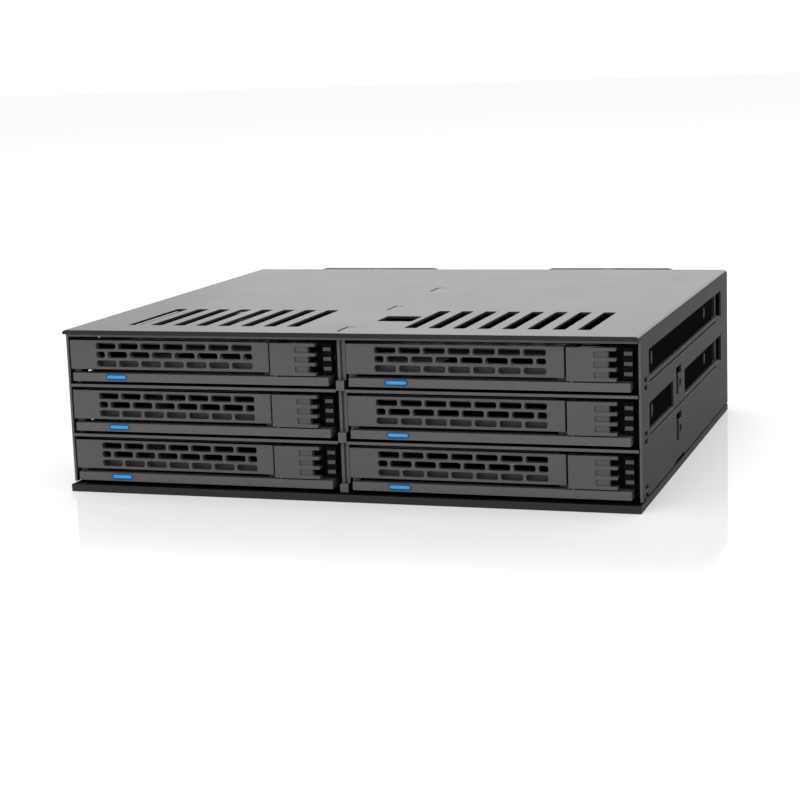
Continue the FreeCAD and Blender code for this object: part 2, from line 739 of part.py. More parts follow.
def make_rotor(side, centre):
    """Fan rotor: a hub with a short shaft and pitched blades."""
    front = f"({DEPTH} + hub_gap)"
    rotor = Piece(f"fan_rotor_{side}", x=centre, y=front, z=MIDDLE_Z)
    rotor.rod("hub", "y", ("0", "0"), ("0", "hub_depth"), "hub_radius")
    rotor.rod("shaft", "y", ("0", "0"), ("hub_depth", "fan_thick - hub_gap - shaft_end_gap"),
              "shaft_radius")
    blade = rotor.add("AdditiveBox", "blade")
    blade.setExpression("Length", cells("fan_bore - blade_tip_gap - hub_radius + wall"))
    blade.setExpression("Width", cells("blade_chord"))
    blade.setExpression("Height", cells("blade_thick"))
    blade.Placement.Rotation = FreeCAD.Rotation(FreeCAD.Vector(1, 0, 0), SIZES["blade_pitch"])
    rotor.put(blade, "hub_radius - wall", "hub_gap", "-blade_drop")
    rotor.ring("blades", [blade], "y", "blade_count")
    return rotor


def make_fan_screws():
    """Four screws for each fan, from behind into the back panel."""
    screws = Piece("fan_screws")
    for sign in "-+":
        for x, z in fan_corners(f"{MIDDLE_X} {sign} {FAN_REACH}"):
            screws.rod("shank", "y", (x, z), (PANEL_FRONT, FAN_BACK), "screw_radius")
            screws.rod("head", "y", (x, z), (FAN_BACK, f"{FAN_BACK} + screw_head_height"), "screw_head")
    return screws


def make_speed_switch():
    """Slide switch behind the back panel, and the knob that stands through it."""
    knob_x = f"({WIDTH} - switch_inset)"
    body = Piece("speed_switch_body")
    floor = f"({PANEL_FRONT} - switch_depth)"
    body.box("case", (f"{knob_x} - switch_width / 2", f"{knob_x} + switch_width / 2"),
             (floor, PANEL_FRONT),
             (f"{MIDDLE_Z} - switch_height / 2", f"{MIDDLE_Z} + switch_height / 2"))
    half_run = "(knob_width / 2 + knob_travel + knob_clear)"
    half_height = "(knob_height / 2 + knob_clear)"
    body.box("track", (f"{knob_x} - {half_run}", f"{knob_x} + {half_run}"),
             (f"{PANEL_FRONT} - switch_depth / 2", PANEL_FRONT),
             (f"{MIDDLE_Z} - {half_height}", f"{MIDDLE_Z} + {half_height}"), cut=True)
    knob = Piece("speed_switch_knob")
    knob.box("stem", (f"{knob_x} - knob_width / 2", f"{knob_x} + knob_width / 2"),
             (f"{PANEL_FRONT} - switch_depth / 2 + knob_clear", f"{DEPTH} + knob_proud"),
             (f"{MIDDLE_Z} - knob_height / 2", f"{MIDDLE_Z} + knob_height / 2"))
    return body, knob


# One bay: tray, bezel, lever, latch, pin and light guide

def bay_piece(kind):
    """Start a piece of the lower left bay, in the frame of that bay's floor and left wall."""
    return Piece(f"{kind}_{ROWS[0]}_{COLUMNS[0]}", x=bay_left(0), z=floor_of(0))


def make_tray():
    """Sheet-metal tray that holds the drive and slides on the rails."""
    tray = bay_piece("tray")
    left, right = "tray_gap", f"(tray_gap + {TRAY_WIDTH})"
    long = ("bezel_depth", DRIVE_BACK)
    floor_top = "(rail_top + tray_floor)"
    tray.box("floor", (left, right), long, ("rail_top", floor_top))
    walls = ((left, f"{left} + tray_side"), (f"{right} - tray_side", right))
    for wall in walls:
        tray.box("side", wall, long, (floor_top, f"{floor_top} + tray_side_height"))
    quarter = f"({TRAY_WIDTH} / 4)"
    air_start = f"({DRIVE_FRONT} + 2 * bezel_depth)"
    air_step = "(drive_length / 4)"
    air_end = f"{air_start} + {air_step} * tray_window_share"
    air = tray.box("air", (quarter, f"3 * {quarter}"), (air_start, air_end), ("rail_top", floor_top), cut=True)
    tray.repeat("airs", [air], "y", air_step, "3")
    for wall in walls:
        for reach in ("drive_hole_back", "drive_hole_front"):
            tray.rod("drive_hole", "x", (f"{DRIVE_BACK} - {reach}", f"{floor_top} + drive_hole_rise"), wall,
                     "screw_radius + drive_gap", cut=True)
    return tray


def make_bezel():
    """Plastic front of a tray: slotted face, light strip and the pocket behind the lever."""
    bezel = bay_piece("bezel")
    face = ("face_setback", "face_setback + face_thick")
    behind = ("face_setback + face_thick", "bezel_depth")
    tall = ("strip_low", FACE_TOP)
    bezel.box("face", ("face_side_gap", FACE_RIGHT), face, (FACE_LOW, FACE_TOP))
    bezel.box("left_post", ("face_side_gap", "face_side_gap + bezel_post"), behind, tall)
    bezel.box("middle_post", (f"{FACE_RIGHT} - bezel_post", FACE_RIGHT), behind, tall)
    bezel.box("strip", ("strip_inset", f"{BAY_WIDTH} - strip_right_gap"),
              ("front_setback", "front_setback + strip_depth"), ("strip_low", STRIP_TOP))
    right = f"{BAY_WIDTH} - bezel_right_gap"
    bezel.box("backplate", (f"{FACE_RIGHT} - bezel_post", right), (BEZEL_BACKPLATE, "bezel_depth"), tall)
    bezel.box("sill", (f"{FACE_RIGHT} - bezel_post", f"{BAY_WIDTH} - strip_right_gap"),
              ("front_setback + wall", "bezel_depth"), ("strip_low", STRIP_TOP))
    ear = (f"{FACE_TOP} + grip_edge", f"{FACE_TOP} + grip_edge + ear_thick")
    ear_x = (LEVER_LEFT, f"{LEVER_LEFT} + ear_width")
    bezel.box("ear", ear_x, (LEVER_FRONT, "bezel_depth"), ear)
    bezel.box("ear_root", ear_x, (BEZEL_BACKPLATE, "bezel_depth"), (FACE_TOP, ear[1]))
    add_grille(bezel)
    pin = (PIN_X, PIN_Y)
    bezel.rod("ear_hole", "z", pin, ear, "pin_radius", cut=True)
    bezel.rod("strip_hole", "z", pin, (f"{STRIP_TOP} - strip_height / 2", STRIP_TOP), "pin_radius", cut=True)
    add_lens(bezel, ("front_setback", "front_setback + strip_depth"), cut=True)
    cut_latch_slot(bezel)
    return bezel


def add_grille(bezel):
    """Cut three staggered rows of slots, with a bar behind the upper and the lower row."""
    pitch = "(slot_width + slot_web)"
    row_step = f"(({FACE_TOP} - {FACE_LOW} - 2 * grille_edge - slot_height) / 2)"
    low_row = f"({FACE_LOW} + grille_edge + slot_height / 2)"
    first = "(face_side_gap + grille_start + slot_width / 2)"
    level = "-face_setback"
    half_width = "((slot_width - slot_web) / 2)"
    for name, rise in (("low", "0"), ("top", "2")):
        place = (first, f"{low_row} + {rise} * {row_step}", level)
        slot = bezel.slot(f"slot_{name}", "XZ_Plane", place, "slot_width", "slot_height",
                          "slot_radius", "face_thick")
        bezel.repeat(f"slots_{name}", [slot], "x", pitch, "slot_count")
    middle = f"{low_row} + {row_step}"
    slot = bezel.slot("slot_middle", "XZ_Plane", (f"{first} + {pitch} / 2", middle, level),
                      "slot_width", "slot_height", "slot_radius", "face_thick")
    bezel.repeat("slots_middle", [slot], "x", pitch, "slot_count - 1")
    left = f"{first} - slot_width / 2 + {half_width} / 2"
    half = bezel.slot("slot_half", "XZ_Plane", (left, middle, level), half_width, "slot_height",
                      "slot_radius", "face_thick")
    bezel.repeat("slots_half", [half], "x", f"{pitch} * slot_count - slot_web - {half_width}", "2")
    span = ("face_side_gap + bezel_post", f"{FACE_RIGHT} - bezel_post")
    depth = ("face_setback + face_thick + bar_setback", "bezel_depth")
    bezel.box("bar_low", span, depth, (FACE_LOW, f"{low_row} + bar_cover / 2"))
    bezel.box("bar_top", span, depth, (f"{FACE_TOP} - grille_edge - bar_cover", FACE_TOP))


def lens_middle():
    """Middle height of the status light in its bay."""
    return "(strip_low + strip_height / 2 + lens_rise)"


def add_lens(piece, depth, cut=False):
    """Add or cut the rounded outline of the status light, over a depth of the strip."""
    low = f"({lens_middle()} - lens_height / 2)"
    round_off = "lens_height / 2"
    piece.box("lens", (f"lens_start + {round_off}", f"lens_start + lens_width - {round_off}"), depth,
              (low, f"{low} + lens_height"), cut)
    for centre in (f"lens_start + {round_off}", f"lens_start + lens_width - {round_off}"):
        piece.rod("lens_end", "y", (centre, lens_middle()), depth, round_off, cut)


def cut_latch_slot(bezel):
    """Cut the slot that guides the latch's stem."""
    left, low = stem_corner()
    bezel.box("latch_slot", (f"{left} - stem_clear", f"{left} + stem_width + latch_travel + stem_clear"),
              (BEZEL_BACKPLATE, "bezel_depth"), (f"{low} - stem_clear", f"{low} + stem_height + stem_clear"),
              cut=True)


def stem_corner():
    """Left and lower edge of the latch's stem."""
    left = f"({LEVER_RIGHT} + latch_gap + (latch_width - stem_width) / 2)"
    low = f"(({FACE_TOP} + {LEVER_LOW}) / 2 - stem_height / 2)"
    return left, low


def make_lever():
    """Release lever: a flat plate with finger grips and four tines at its free end."""
    lever = bay_piece("lever")
    deep = (LEVER_FRONT, LEVER_BACK)
    tall = (LEVER_LOW, FACE_TOP)
    shoulder = f"({LEVER_RIGHT} - tine_length)"
    lever.box("plate", (LEVER_LEFT, shoulder), deep, tall)
    lever.box("first_tine", (shoulder, LEVER_RIGHT), deep, (LEVER_LOW, f"{LEVER_LOW} + tine_height"))
    tine = lever.box("tine", (shoulder, LEVER_RIGHT), deep,
                     (f"{LEVER_LOW} + {TINE_PITCH}", f"{LEVER_LOW} + {TINE_PITCH} + tine_height"))
    lever.repeat("tines", [tine], "z", TINE_PITCH, "3")
    grip = lever.box("grip", (f"{shoulder} - grip_length", f"{shoulder} - grip_edge"),
                     (LEVER_FRONT, f"{LEVER_FRONT} + grip_depth"),
                     (f"{LEVER_LOW} + tine_height + grip_edge", f"{LEVER_LOW} + {TINE_PITCH} - grip_edge"),
                     cut=True)
    lever.repeat("grips", [grip], "z", TINE_PITCH, "3")
    lever.rod("pivot", "z", (PIN_X, PIN_Y), tall, "pin_radius + pin_clearance", cut=True)
    return lever


def make_lever_pin():
    """Upright pin that the lever turns on, held by the strip and the ear."""
    pin = bay_piece("lever_pin")
    pin.rod("pin", "z", (PIN_X, PIN_Y),
            (f"{STRIP_TOP} - strip_height / 2", f"{FACE_TOP} + grip_edge + ear_thick"), "pin_radius")
    return pin


def make_latch():
    """Small sliding latch beside the lever, with three ribs and a guide stem."""
    latch = bay_piece("latch")
    left = f"({LEVER_RIGHT} + latch_gap)"
    plate_back = f"({BEZEL_BACKPLATE} - latch_clear)"
    plate_front = f"({plate_back} - latch_plate)"
    latch.box("plate", (left, f"{left} + latch_width"), (plate_front, plate_back),
              (f"{LEVER_LOW} + lever_clear", f"{FACE_TOP} - lever_clear"))
    stem_left, stem_low = stem_corner()
    latch.box("stem", (stem_left, f"{stem_left} + stem_width"), (plate_back, "bezel_depth + rib_inset"),
              (stem_low, f"{stem_low} + stem_height"))
    middle = f"({LEVER_LOW} + (tine_height + {TINE_PITCH}) / 2)"
    rib = latch.box("rib", (f"{left} + rib_inset", f"{left} + latch_width"),
                    (f"{plate_front} - rib_depth", plate_front),
                    (f"{middle} - rib_height / 2", f"{middle} + rib_height / 2"))
    latch.repeat("ribs", [rib], "z", TINE_PITCH, "3")
    return latch


def make_light_pipe():
    """Clear light guide: a rounded lens in the strip and a bar back to the backplane."""
    guide = bay_piece("light_pipe")
    back = "(front_setback + strip_depth)"
    add_lens(guide, ("front_setback - lens_proud", back))
    middle = "lens_start + lens_width / 2"
    half = "guide_size / 2"
    guide.box("bar", (f"{middle} - {half}", f"{middle} + {half}"), (back, f"{BOARD_FRONT} - guide_gap"),
              (f"{lens_middle()} - {half}", f"{lens_middle()} + {half}"))
    return guide


def fill_other_bays(kinds):
    """Repeat the pieces of the lower left bay in the five other bays."""
    for kind in kinds:
        for column in range(2):
            for row in range(3):
                if row or column:
                    repeat_piece(kind, row, column)


def repeat_piece(piece, row, column):
    """Stand a copy of a lower left piece in another bay."""
    kind = piece.body.Label.rsplit("_", 2)[0]
    label = f"{kind}_{ROWS[row]}_{COLUMNS[column]}"
    copy = DOC.addObject("Part::Compound", label)
    copy.Label = label
    copy.Links = [piece.body]
    copy.setExpression(".Placement.Base.x", cells(f"{column} * {BAY_PITCH}"))
    copy.setExpression(".Placement.Base.z", cells(f"{row} * {ROW_PITCH}"))
    Piece.made.append(copy)


def check_document():
    """Stop if any object failed, or any piece is empty or not valid."""
    failed = [thing.Name for thing in DOC.Objects
              if "Invalid" in thing.State or "Error" in thing.State]
    if failed:
        raise RuntimeError(f"failed objects: {failed}")
    for body in Piece.made:
        if body.Shape.isNull() or not body.Shape.isValid():
            raise RuntimeError(f"bad shape: {body.Label}")


def write_parts():
    """Write each piece to a file of its own."""
    os.makedirs("parts", exist_ok=True)
    for body in Piece.made:
        body.Shape.exportStep(f"parts/{body.Label}.step")
        print(body.Label, len(body.Shape.Solids), round(body.Shape.Volume, 2))


def main():
    """Build the case, the back end and the six bays, and write the pieces."""
    fill_sheet()
    make_cover()
    make_side_wall("left", "0")
    make_side_wall("right", f"{WIDTH} - wall")
    make_side_rails()
    make_base_tray()
    make_centre_divider()
    make_rear_panel()
    make_backplane()
    make_drive_sockets()
    make_data_ports()
    make_power_sockets()
    make_standoffs()
    make_board_screws()
    make_fan("left", "-")
    make_fan("right", "+")
    make_fan_screws()
    make_speed_switch()
    for column in range(2):
        for row in (1, 2):
            make_shelf(row, column)
    fill_other_bays([make_tray(), make_bezel(), make_lever(), make_lever_pin(), make_latch(),
                     make_light_pipe()])
    DOC.recompute()
    check_document()
    write_parts()


main()
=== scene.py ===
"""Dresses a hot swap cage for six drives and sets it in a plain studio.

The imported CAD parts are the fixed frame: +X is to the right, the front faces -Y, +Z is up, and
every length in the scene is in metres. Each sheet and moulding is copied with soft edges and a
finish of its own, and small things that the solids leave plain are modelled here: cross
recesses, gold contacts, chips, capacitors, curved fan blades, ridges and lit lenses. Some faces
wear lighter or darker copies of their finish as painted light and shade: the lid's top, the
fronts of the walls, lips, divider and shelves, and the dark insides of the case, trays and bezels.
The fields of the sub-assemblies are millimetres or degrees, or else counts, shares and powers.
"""
import json
import logging
import math
import random
from dataclasses import dataclass, field
from enum import Enum

import bmesh
import bpy
from mathutils import Matrix, Vector

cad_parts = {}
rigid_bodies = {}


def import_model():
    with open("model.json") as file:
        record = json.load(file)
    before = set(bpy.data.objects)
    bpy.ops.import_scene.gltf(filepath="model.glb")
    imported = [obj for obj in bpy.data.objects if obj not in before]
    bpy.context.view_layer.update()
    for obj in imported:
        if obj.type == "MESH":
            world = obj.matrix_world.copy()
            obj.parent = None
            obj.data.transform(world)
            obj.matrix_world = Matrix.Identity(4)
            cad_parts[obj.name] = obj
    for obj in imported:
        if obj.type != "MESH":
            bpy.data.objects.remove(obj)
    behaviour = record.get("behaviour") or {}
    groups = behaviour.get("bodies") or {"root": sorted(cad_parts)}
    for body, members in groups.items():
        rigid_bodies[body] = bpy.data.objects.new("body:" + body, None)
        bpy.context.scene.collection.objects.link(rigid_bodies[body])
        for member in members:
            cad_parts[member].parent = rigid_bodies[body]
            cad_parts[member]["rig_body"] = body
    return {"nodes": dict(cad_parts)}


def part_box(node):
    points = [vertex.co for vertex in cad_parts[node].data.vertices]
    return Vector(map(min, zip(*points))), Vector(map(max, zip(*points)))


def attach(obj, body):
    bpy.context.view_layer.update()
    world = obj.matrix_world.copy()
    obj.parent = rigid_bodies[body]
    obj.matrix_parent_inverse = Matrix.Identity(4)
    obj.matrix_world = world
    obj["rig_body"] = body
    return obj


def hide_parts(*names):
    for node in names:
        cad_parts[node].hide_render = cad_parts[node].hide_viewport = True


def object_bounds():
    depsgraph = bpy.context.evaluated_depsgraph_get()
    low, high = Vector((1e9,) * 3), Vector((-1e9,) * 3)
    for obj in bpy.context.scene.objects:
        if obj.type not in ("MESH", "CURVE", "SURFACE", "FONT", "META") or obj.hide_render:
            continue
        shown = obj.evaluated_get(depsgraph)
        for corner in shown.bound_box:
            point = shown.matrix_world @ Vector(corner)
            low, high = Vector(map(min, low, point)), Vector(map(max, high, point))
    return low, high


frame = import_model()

LOG = logging.getLogger("drive_cage")
MM = 0.001
CAD_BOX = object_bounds()
WHITE = (1.0, 1.0, 1.0)

# Corners nearer than WELD are one. Edges flatter than FLAT go, and those past SHARP are rounded.
WELD = 0.002 * MM
FLAT = math.radians(0.4)
SHARP = math.radians(36.0)

# How much of a face's normal lies along the way that it looks, at least: straight or roughly.
STRAIGHT = 0.99
ROUGHLY = 0.7

Shape = bmesh.types.BMesh
Mesh = bpy.types.Mesh
Object = bpy.types.Object
Material = bpy.types.Material
Socket = bpy.types.NodeSocket
Triple = tuple[float, float, float]
Colour = Triple
Spot = tuple[float, float]


class Body(Enum):
    """Bodies of the cage that single pieces ride on."""

    CAGE = "cage"
    KNOB = "speed_knob"


class Row(Enum):
    """Rows of bays, from the underside up."""

    LOWER = "lower"
    MIDDLE = "middle"
    UPPER = "upper"


class Column(Enum):
    """Columns of bays, seen from the front."""

    LEFT = "left"
    RIGHT = "right"


class Slot(Enum):
    """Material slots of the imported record."""

    CASE = "case_steel"
    TRAY = "tray_steel"
    BEZEL = "bezel_plastic"
    LEVER = "lever_plastic"
    LATCH = "latch_plastic"
    PIN = "pin_steel"
    LIGHT = "blue_light"
    BOARD = "circuit_board"
    PORT = "port_plastic"
    POST = "brass_post"
    SCREW = "screw_steel"
    FAN = "fan_plastic"
    KNOB = "knob_plastic"


# Finishes


class NodeBoard:
    """The node tree of one material, with short calls that add and join its nodes."""

    def __init__(self, name: str) -> None:
        """Start an empty tree with its output and its place on the object.

        Args:
            name: Name of the material.
        """
        self.material = bpy.data.materials.new(name)
        self.material.use_nodes = True
        self.tree = self.material.node_tree
        self.tree.nodes.clear()
        self.output = self.tree.nodes.new("ShaderNodeOutputMaterial")
        self.place = self.tree.nodes.new("ShaderNodeTexCoord").outputs["Object"]

    def add(self, kind: str, feeds: dict, **settings: object) -> bpy.types.Node:
        """Add a node.

        Args:
            kind: Node type, without its "ShaderNode".
            feeds: A value or another node's socket for each named input.
            **settings: Properties of the node.

        Returns:
            The new node.
        """
        node = self.tree.nodes.new(f"ShaderNode{kind}")
        for name, value in settings.items():
            setattr(node, name, value)
        for name, value in feeds.items():
            self.feed(node.inputs[name], value)
        return node

    def feed(self, socket: Socket, value: object) -> None:
        """Link a socket to another one, or set its number or colour.

        Args:
            socket: The input to feed.
            value: Another node's socket, a number, a vector or a colour.
        """
        if isinstance(value, Socket):
            self.tree.links.new(value, socket)
        elif isinstance(value, tuple) and len(value) == 3 and socket.type == "RGBA":
            socket.default_value = (*value, 1.0)
        else:
            socket.default_value = value

    def noise(self, scale: float, detail: float = 2.0) -> Socket:
        """Cloudy noise on the object, with its scale in cells per metre."""
        feeds = {"Vector": self.place, "Scale": scale, "Detail": detail}
        return self.add("TexNoise", feeds).outputs["Fac"]

    def cells(self, scale: float, **settings: object) -> Socket:
        """Cell pattern on the object, with its scale in cells per metre."""
        return self.add("TexVoronoi", {"Vector": self.place, "Scale": scale}, **settings).outputs["Distance"]

    def blend(self, amount: object, low: Colour, high: Colour) -> Socket:
        """Mix two colours.

        Args:
            amount: Number or socket, 0 for the first colour and 1 for the second.
            low: The first colour.
            high: The second colour.

        Returns:
            The colour between them.
        """
        node = self.add("Mix", {"Factor": amount}, data_type="RGBA")
        self.feed(node.inputs[6], low)
        self.feed(node.inputs[7], high)
        return node.outputs[2]

    def tinted(self, amount: object, colour: Colour, low: float, high: float) -> Socket:
        """Mix two tints of one colour, given as factors of it."""
        return self.blend(amount, tint(colour, low), tint(colour, high))

    def span(self, value: Socket, low: float, high: float,
             start: float = 0.3, stop: float = 0.7) -> Socket:
        """Carry a value from one span of numbers to another."""
        feeds = {"Value": value, "From Min": start, "From Max": stop, "To Min": low, "To Max": high}
        return self.add("MapRange", feeds).outputs["Result"]

    def bump(self, height: Socket, depth: float,
             under: Socket | None = None) -> Socket:
        """Raise the surface by a height pattern.

        Args:
            height: The pattern, from 0 to 1.
            depth: Height of the pattern in millimetres.
            under: A bump that this one lies on.

        Returns:
            The bumped normal.
        """
        feeds = {"Height": height, "Distance": depth * MM, "Strength": 1.0}
        if under is not None:
            feeds["Normal"] = under
        return self.add("Bump", feeds).outputs["Normal"]

    def shade(self, feeds: dict) -> Material:
        """Close the tree with a principled shader.

        Args:
            feeds: What the shader's named inputs get.

        Returns:
            The finished material.
        """
        shader = self.add("BsdfPrincipled", feeds)
        self.tree.links.new(shader.outputs["BSDF"], self.output.inputs["Surface"])
        return self.material


def tint(colour: Colour, factor: float) -> Colour:
    """A colour made lighter or darker by a factor."""
    return tuple(min(1.0, part * factor) for part in colour)


class Finish:
    """A finish whose material is made once and shared by the pieces that wear it."""

    made: dict[str, Material] = {}
    name: str

    def build(self) -> Material:
        """Make the finish's material."""
        raise NotImplementedError

    def material(self) -> Material:
        """Give the finish's material, made the first time that it is asked for.

        Returns:
            The material.
        """
        if self.name not in Finish.made:
            Finish.made[self.name] = self.build()
        return Finish.made[self.name]


@dataclass(frozen=True)
class SatinPaint(Finish):
    """Baked black paint on pressed steel, with a fine orange peel."""

    name: str
    colour: Colour
    roughness: float
    shine: float = 0.5
    grit_scale: float = 3600.0
    grit_depth: float = 0.006
    cloudiness: float = 0.025
    cloud_scale: float = 55.0
    peel_scale: float = 700.0
    peel_depth: float = 0.012

    def build(self) -> Material:
        """Make the paint with its orange peel, its grit and its faint cloudiness.

        Returns:
            The material.
        """
        board = NodeBoard(self.name)
        cloud = board.noise(self.cloud_scale, detail=3.0)
        peel = board.bump(board.noise(self.peel_scale, detail=1.0), self.peel_depth)
        grit = board.bump(board.noise(self.grit_scale), self.grit_depth, peel)
        return board.shade({
            "Base Color": board.tinted(cloud, self.colour, 1.0 - self.cloudiness,
                                       1.0 + self.cloudiness),
            "Roughness": board.span(cloud, self.roughness - self.cloudiness / 2,
                                    self.roughness + self.cloudiness / 2),
            "Specular IOR Level": self.shine,
            "Normal": grit,
        })


@dataclass(frozen=True)
class MouldedPlastic(Finish):
    """Spark-textured moulded plastic."""

    name: str
    colour: Colour
    roughness: float
    shine: float = 0.45
    texture_scale: float = 2600.0
    texture_depth: float = 0.007
    flow_scale: float = 90.0
    fineness: float = 2.3
    speck: float = 0.1
    unevenness: float = 0.05

    def build(self) -> Material:
        """Make the plastic with its cellular mould texture and slight flow marks.

        Returns:
            The material.
        """
        board = NodeBoard(self.name)
        flow = board.noise(self.flow_scale)
        texture = board.cells(self.texture_scale)
        coarse = board.bump(texture, self.texture_depth)
        grain = board.noise(self.texture_scale * self.fineness, detail=1.0)
        fine = board.bump(grain, self.texture_depth / 2, coarse)
        speck = board.span(board.noise(self.texture_scale, detail=1.0), 0.0, 1.0)
        return board.shade({
            "Base Color": board.tinted(speck, self.colour, 1.0 - self.speck, 1.0 + self.speck),
            "Roughness": board.span(flow, self.roughness - self.unevenness,
                                    self.roughness + self.unevenness),
            "Specular IOR Level": self.shine,
            "Normal": fine,
        })


@dataclass(frozen=True)
class LitPlastic(Finish):
    """Clear tinted plastic with a lamp behind it."""

    name: str
    colour: Colour
    glow: Colour
    strength: float
    shine: float
    cloud_scale: float = 420.0
    roughness: Spot = (0.14, 0.24)
    flicker: Spot = (0.8, 1.15)

    def build(self) -> Material:
        """Make the plastic, with a glow that is slightly uneven along the lens.

        Returns:
            The material.
        """
        board = NodeBoard(self.name)
        uneven = board.noise(self.cloud_scale, detail=1.0)
        return board.shade({
            "Base Color": self.colour,
            "Roughness": board.span(uneven, *self.roughness),
            "Specular IOR Level": self.shine,
            "Emission Color": board.tinted(uneven, self.glow, *self.flicker),
            "Emission Strength": self.strength,
        })


@dataclass(frozen=True)
class PlainMetal(Finish):
    """Bare or plated metal with fine scratches."""

    name: str
    colour: Colour
    roughness: float
    scratch: Triple = (900.0, 2600.0, 900.0)
    scratch_depth: float = 0.003
    stain_scale: float = 240.0
    stain: Spot = (0.85, 1.05)
    wear: Spot = (-0.06, 0.08)

    def build(self) -> Material:
        """Make the metal, with stains and with fine scratches that lie across Y.

        Returns:
            The material.
        """
        board = NodeBoard(self.name)
        stretched = board.add("Mapping", {"Vector": board.place, "Scale": self.scratch}).outputs["Vector"]
        lines = board.add("TexNoise", {"Vector": stretched, "Scale": 1.0, "Detail": 3.0}).outputs["Fac"]
        stain = board.noise(self.stain_scale, detail=3.0)
        return board.shade({
            "Base Color": board.tinted(stain, self.colour, *self.stain),
            "Metallic": 1.0,
            "Roughness": board.span(lines, *(self.roughness + change for change in self.wear)),
            "Normal": board.bump(lines, self.scratch_depth),
        })


@dataclass(frozen=True)
class SolderMask(Finish):
    """Circuit board lacquer over copper tracks."""

    name: str
    colour: Colour
    track: Colour
    cell_scale: float = 700.0 / 3
    lanes: float = 5.0
    edge: Spot = (0.46, 0.54)
    track_height: float = 0.03
    grain_scale: float = 1500.0
    roughness: Spot = (0.3, 0.42)
    shine: float = 0.5

    def build(self) -> Material:
        """Make the lacquer with raised tracks in stepped rings.

        Returns:
            The material.
        """
        board = NodeBoard(self.name)
        cell = board.cells(self.cell_scale, distance="MANHATTAN")
        rings = board.add("Math", {0: cell, 1: self.lanes}, operation="MULTIPLY")
        wave = board.add("Math", {0: rings.outputs[0]}, operation="FRACT").outputs[0]
        tracks = board.span(wave, 0.0, 1.0, *self.edge)
        return board.shade({
            "Base Color": board.blend(tracks, self.colour, self.track),
            "Roughness": board.span(board.noise(self.grain_scale), *self.roughness),
            "Specular IOR Level": self.shine,
            "Normal": board.bump(tracks, self.track_height),
        })


@dataclass(frozen=True)
class StudioFloor(Finish):
    """White floor that mirrors the object faintly close by and not further off."""

    name: str
    colour: Colour
    half_size: Triple
    fade: float
    mirrors: tuple[Spot, ...]
    glow: float
    roughness: float = 0.04
    cloud_scale: float = 30.0
    cloud_tint: float = 0.99

    def build(self) -> Material:
        """Make the floor, duller with distance from the object's own footprint.

        Returns:
            The material.
        """
        board = NodeBoard(self.name)
        away = board.add("VectorMath", {0: board.place}, operation="ABSOLUTE").outputs[0]
        past = board.add("VectorMath", {0: away, 1: self.half_size}, operation="SUBTRACT").outputs[0]
        outside = board.add("VectorMath", {0: past, 1: (0.0, 0.0, 0.0)}, operation="MAXIMUM").outputs[0]
        distance = board.add("VectorMath", {0: outside}, operation="LENGTH").outputs["Value"]
        share = board.add("Math", {0: distance, 1: self.fade}, operation="DIVIDE").outputs[0]
        near = self.add_ramp(board, share)
        matt = board.add("BsdfDiffuse", {"Color": self.colour})
        lit = board.add("Emission", {"Color": WHITE, "Strength": self.glow})
        dull = board.add("AddShader", {0: matt.outputs[0], 1: lit.outputs[0]})
        gloss = board.add("BsdfGlossy", {
            "Color": board.tinted(board.noise(self.cloud_scale), self.colour, self.cloud_tint, 1.0),
            "Roughness": self.roughness,
        })
        mixed = board.add("MixShader", {0: near, 1: dull.outputs[0], 2: gloss.outputs[0]})
        board.tree.links.new(mixed.outputs[0], board.output.inputs["Surface"])
        return board.material

    def add_ramp(self, board: NodeBoard, share: Socket) -> Socket:
        """Carry the distance to the strength of the mirror.

        Args:
            board: The floor's node tree.
            share: The distance, as a share of the fade.

        Returns:
            The strength.
        """
        ramp = board.add("ValToRGB", {"Fac": share})
        points = ramp.color_ramp.elements
        ramp.color_ramp.interpolation = "B_SPLINE"
        points[0].position, points[1].position = self.mirrors[0][0], self.mirrors[-1][0]
        for place, _ in self.mirrors[1:-1]:
            points.new(place)
        for point, (_, strength) in zip(points, self.mirrors):
            point.color = (strength, strength, strength, 1.0)
        return ramp.outputs["Color"]


# Painted light: the lid's upward faces wear a lighter, shinier copy of the case paint, and its sides the
# darker, duller case paint, as lit and shaded copies of one paint.
LIT_LID_PAINT = SatinPaint("lit_lid_paint", (0.052, 0.052, 0.0535), 0.36, 0.8)
CASE_PAINT = SatinPaint("case_paint", (0.024, 0.024, 0.026), 0.6, 0.08)
# Painted light: a lighter copy of the case paint, on the forward faces of the walls' front edges, the
# divider's front and the shelves' fronts.
LIT_FRONT_PAINT = SatinPaint("lit_front_paint", (0.070, 0.070, 0.072), 0.46, 0.4)
# Painted shade: a darker copy of the case paint, on the front faces of the lid's and the base's lips.
SHADED_LIP_PAINT = SatinPaint("shaded_lip_paint", (0.017, 0.017, 0.018), 0.42, 0.2)
# Painted shade: a near-black copy of the case paint, for the inside of the base, the divider behind its
# front and the shelves, where shade falls.
SHADE_PAINT = SatinPaint("shade_paint", (0.004, 0.004, 0.0045), 0.55, 0.06)
TRAY_PAINT = SatinPaint("tray_paint", (0.014, 0.014, 0.015), 0.5, 0.2, 2600.0, 0.008)
# Painted shade: the trays' outer sides, seen through the side windows, are near black and without shine.
SHADED_TRAY_SIDE_PAINT = SatinPaint("shaded_tray_side_paint", (0.004, 0.004, 0.0045), 0.8, 0.0)
FACE_PLASTIC = MouldedPlastic("face_plastic", (0.060, 0.060, 0.061), 0.5)
STRIP_PLASTIC = MouldedPlastic("strip_plastic", (0.068, 0.068, 0.069), 0.46)
LEVER_PLASTIC = MouldedPlastic("lever_plastic", (0.056, 0.056, 0.058), 0.44)
LATCH_PLASTIC = MouldedPlastic("latch_plastic", (0.046, 0.046, 0.047), 0.4)
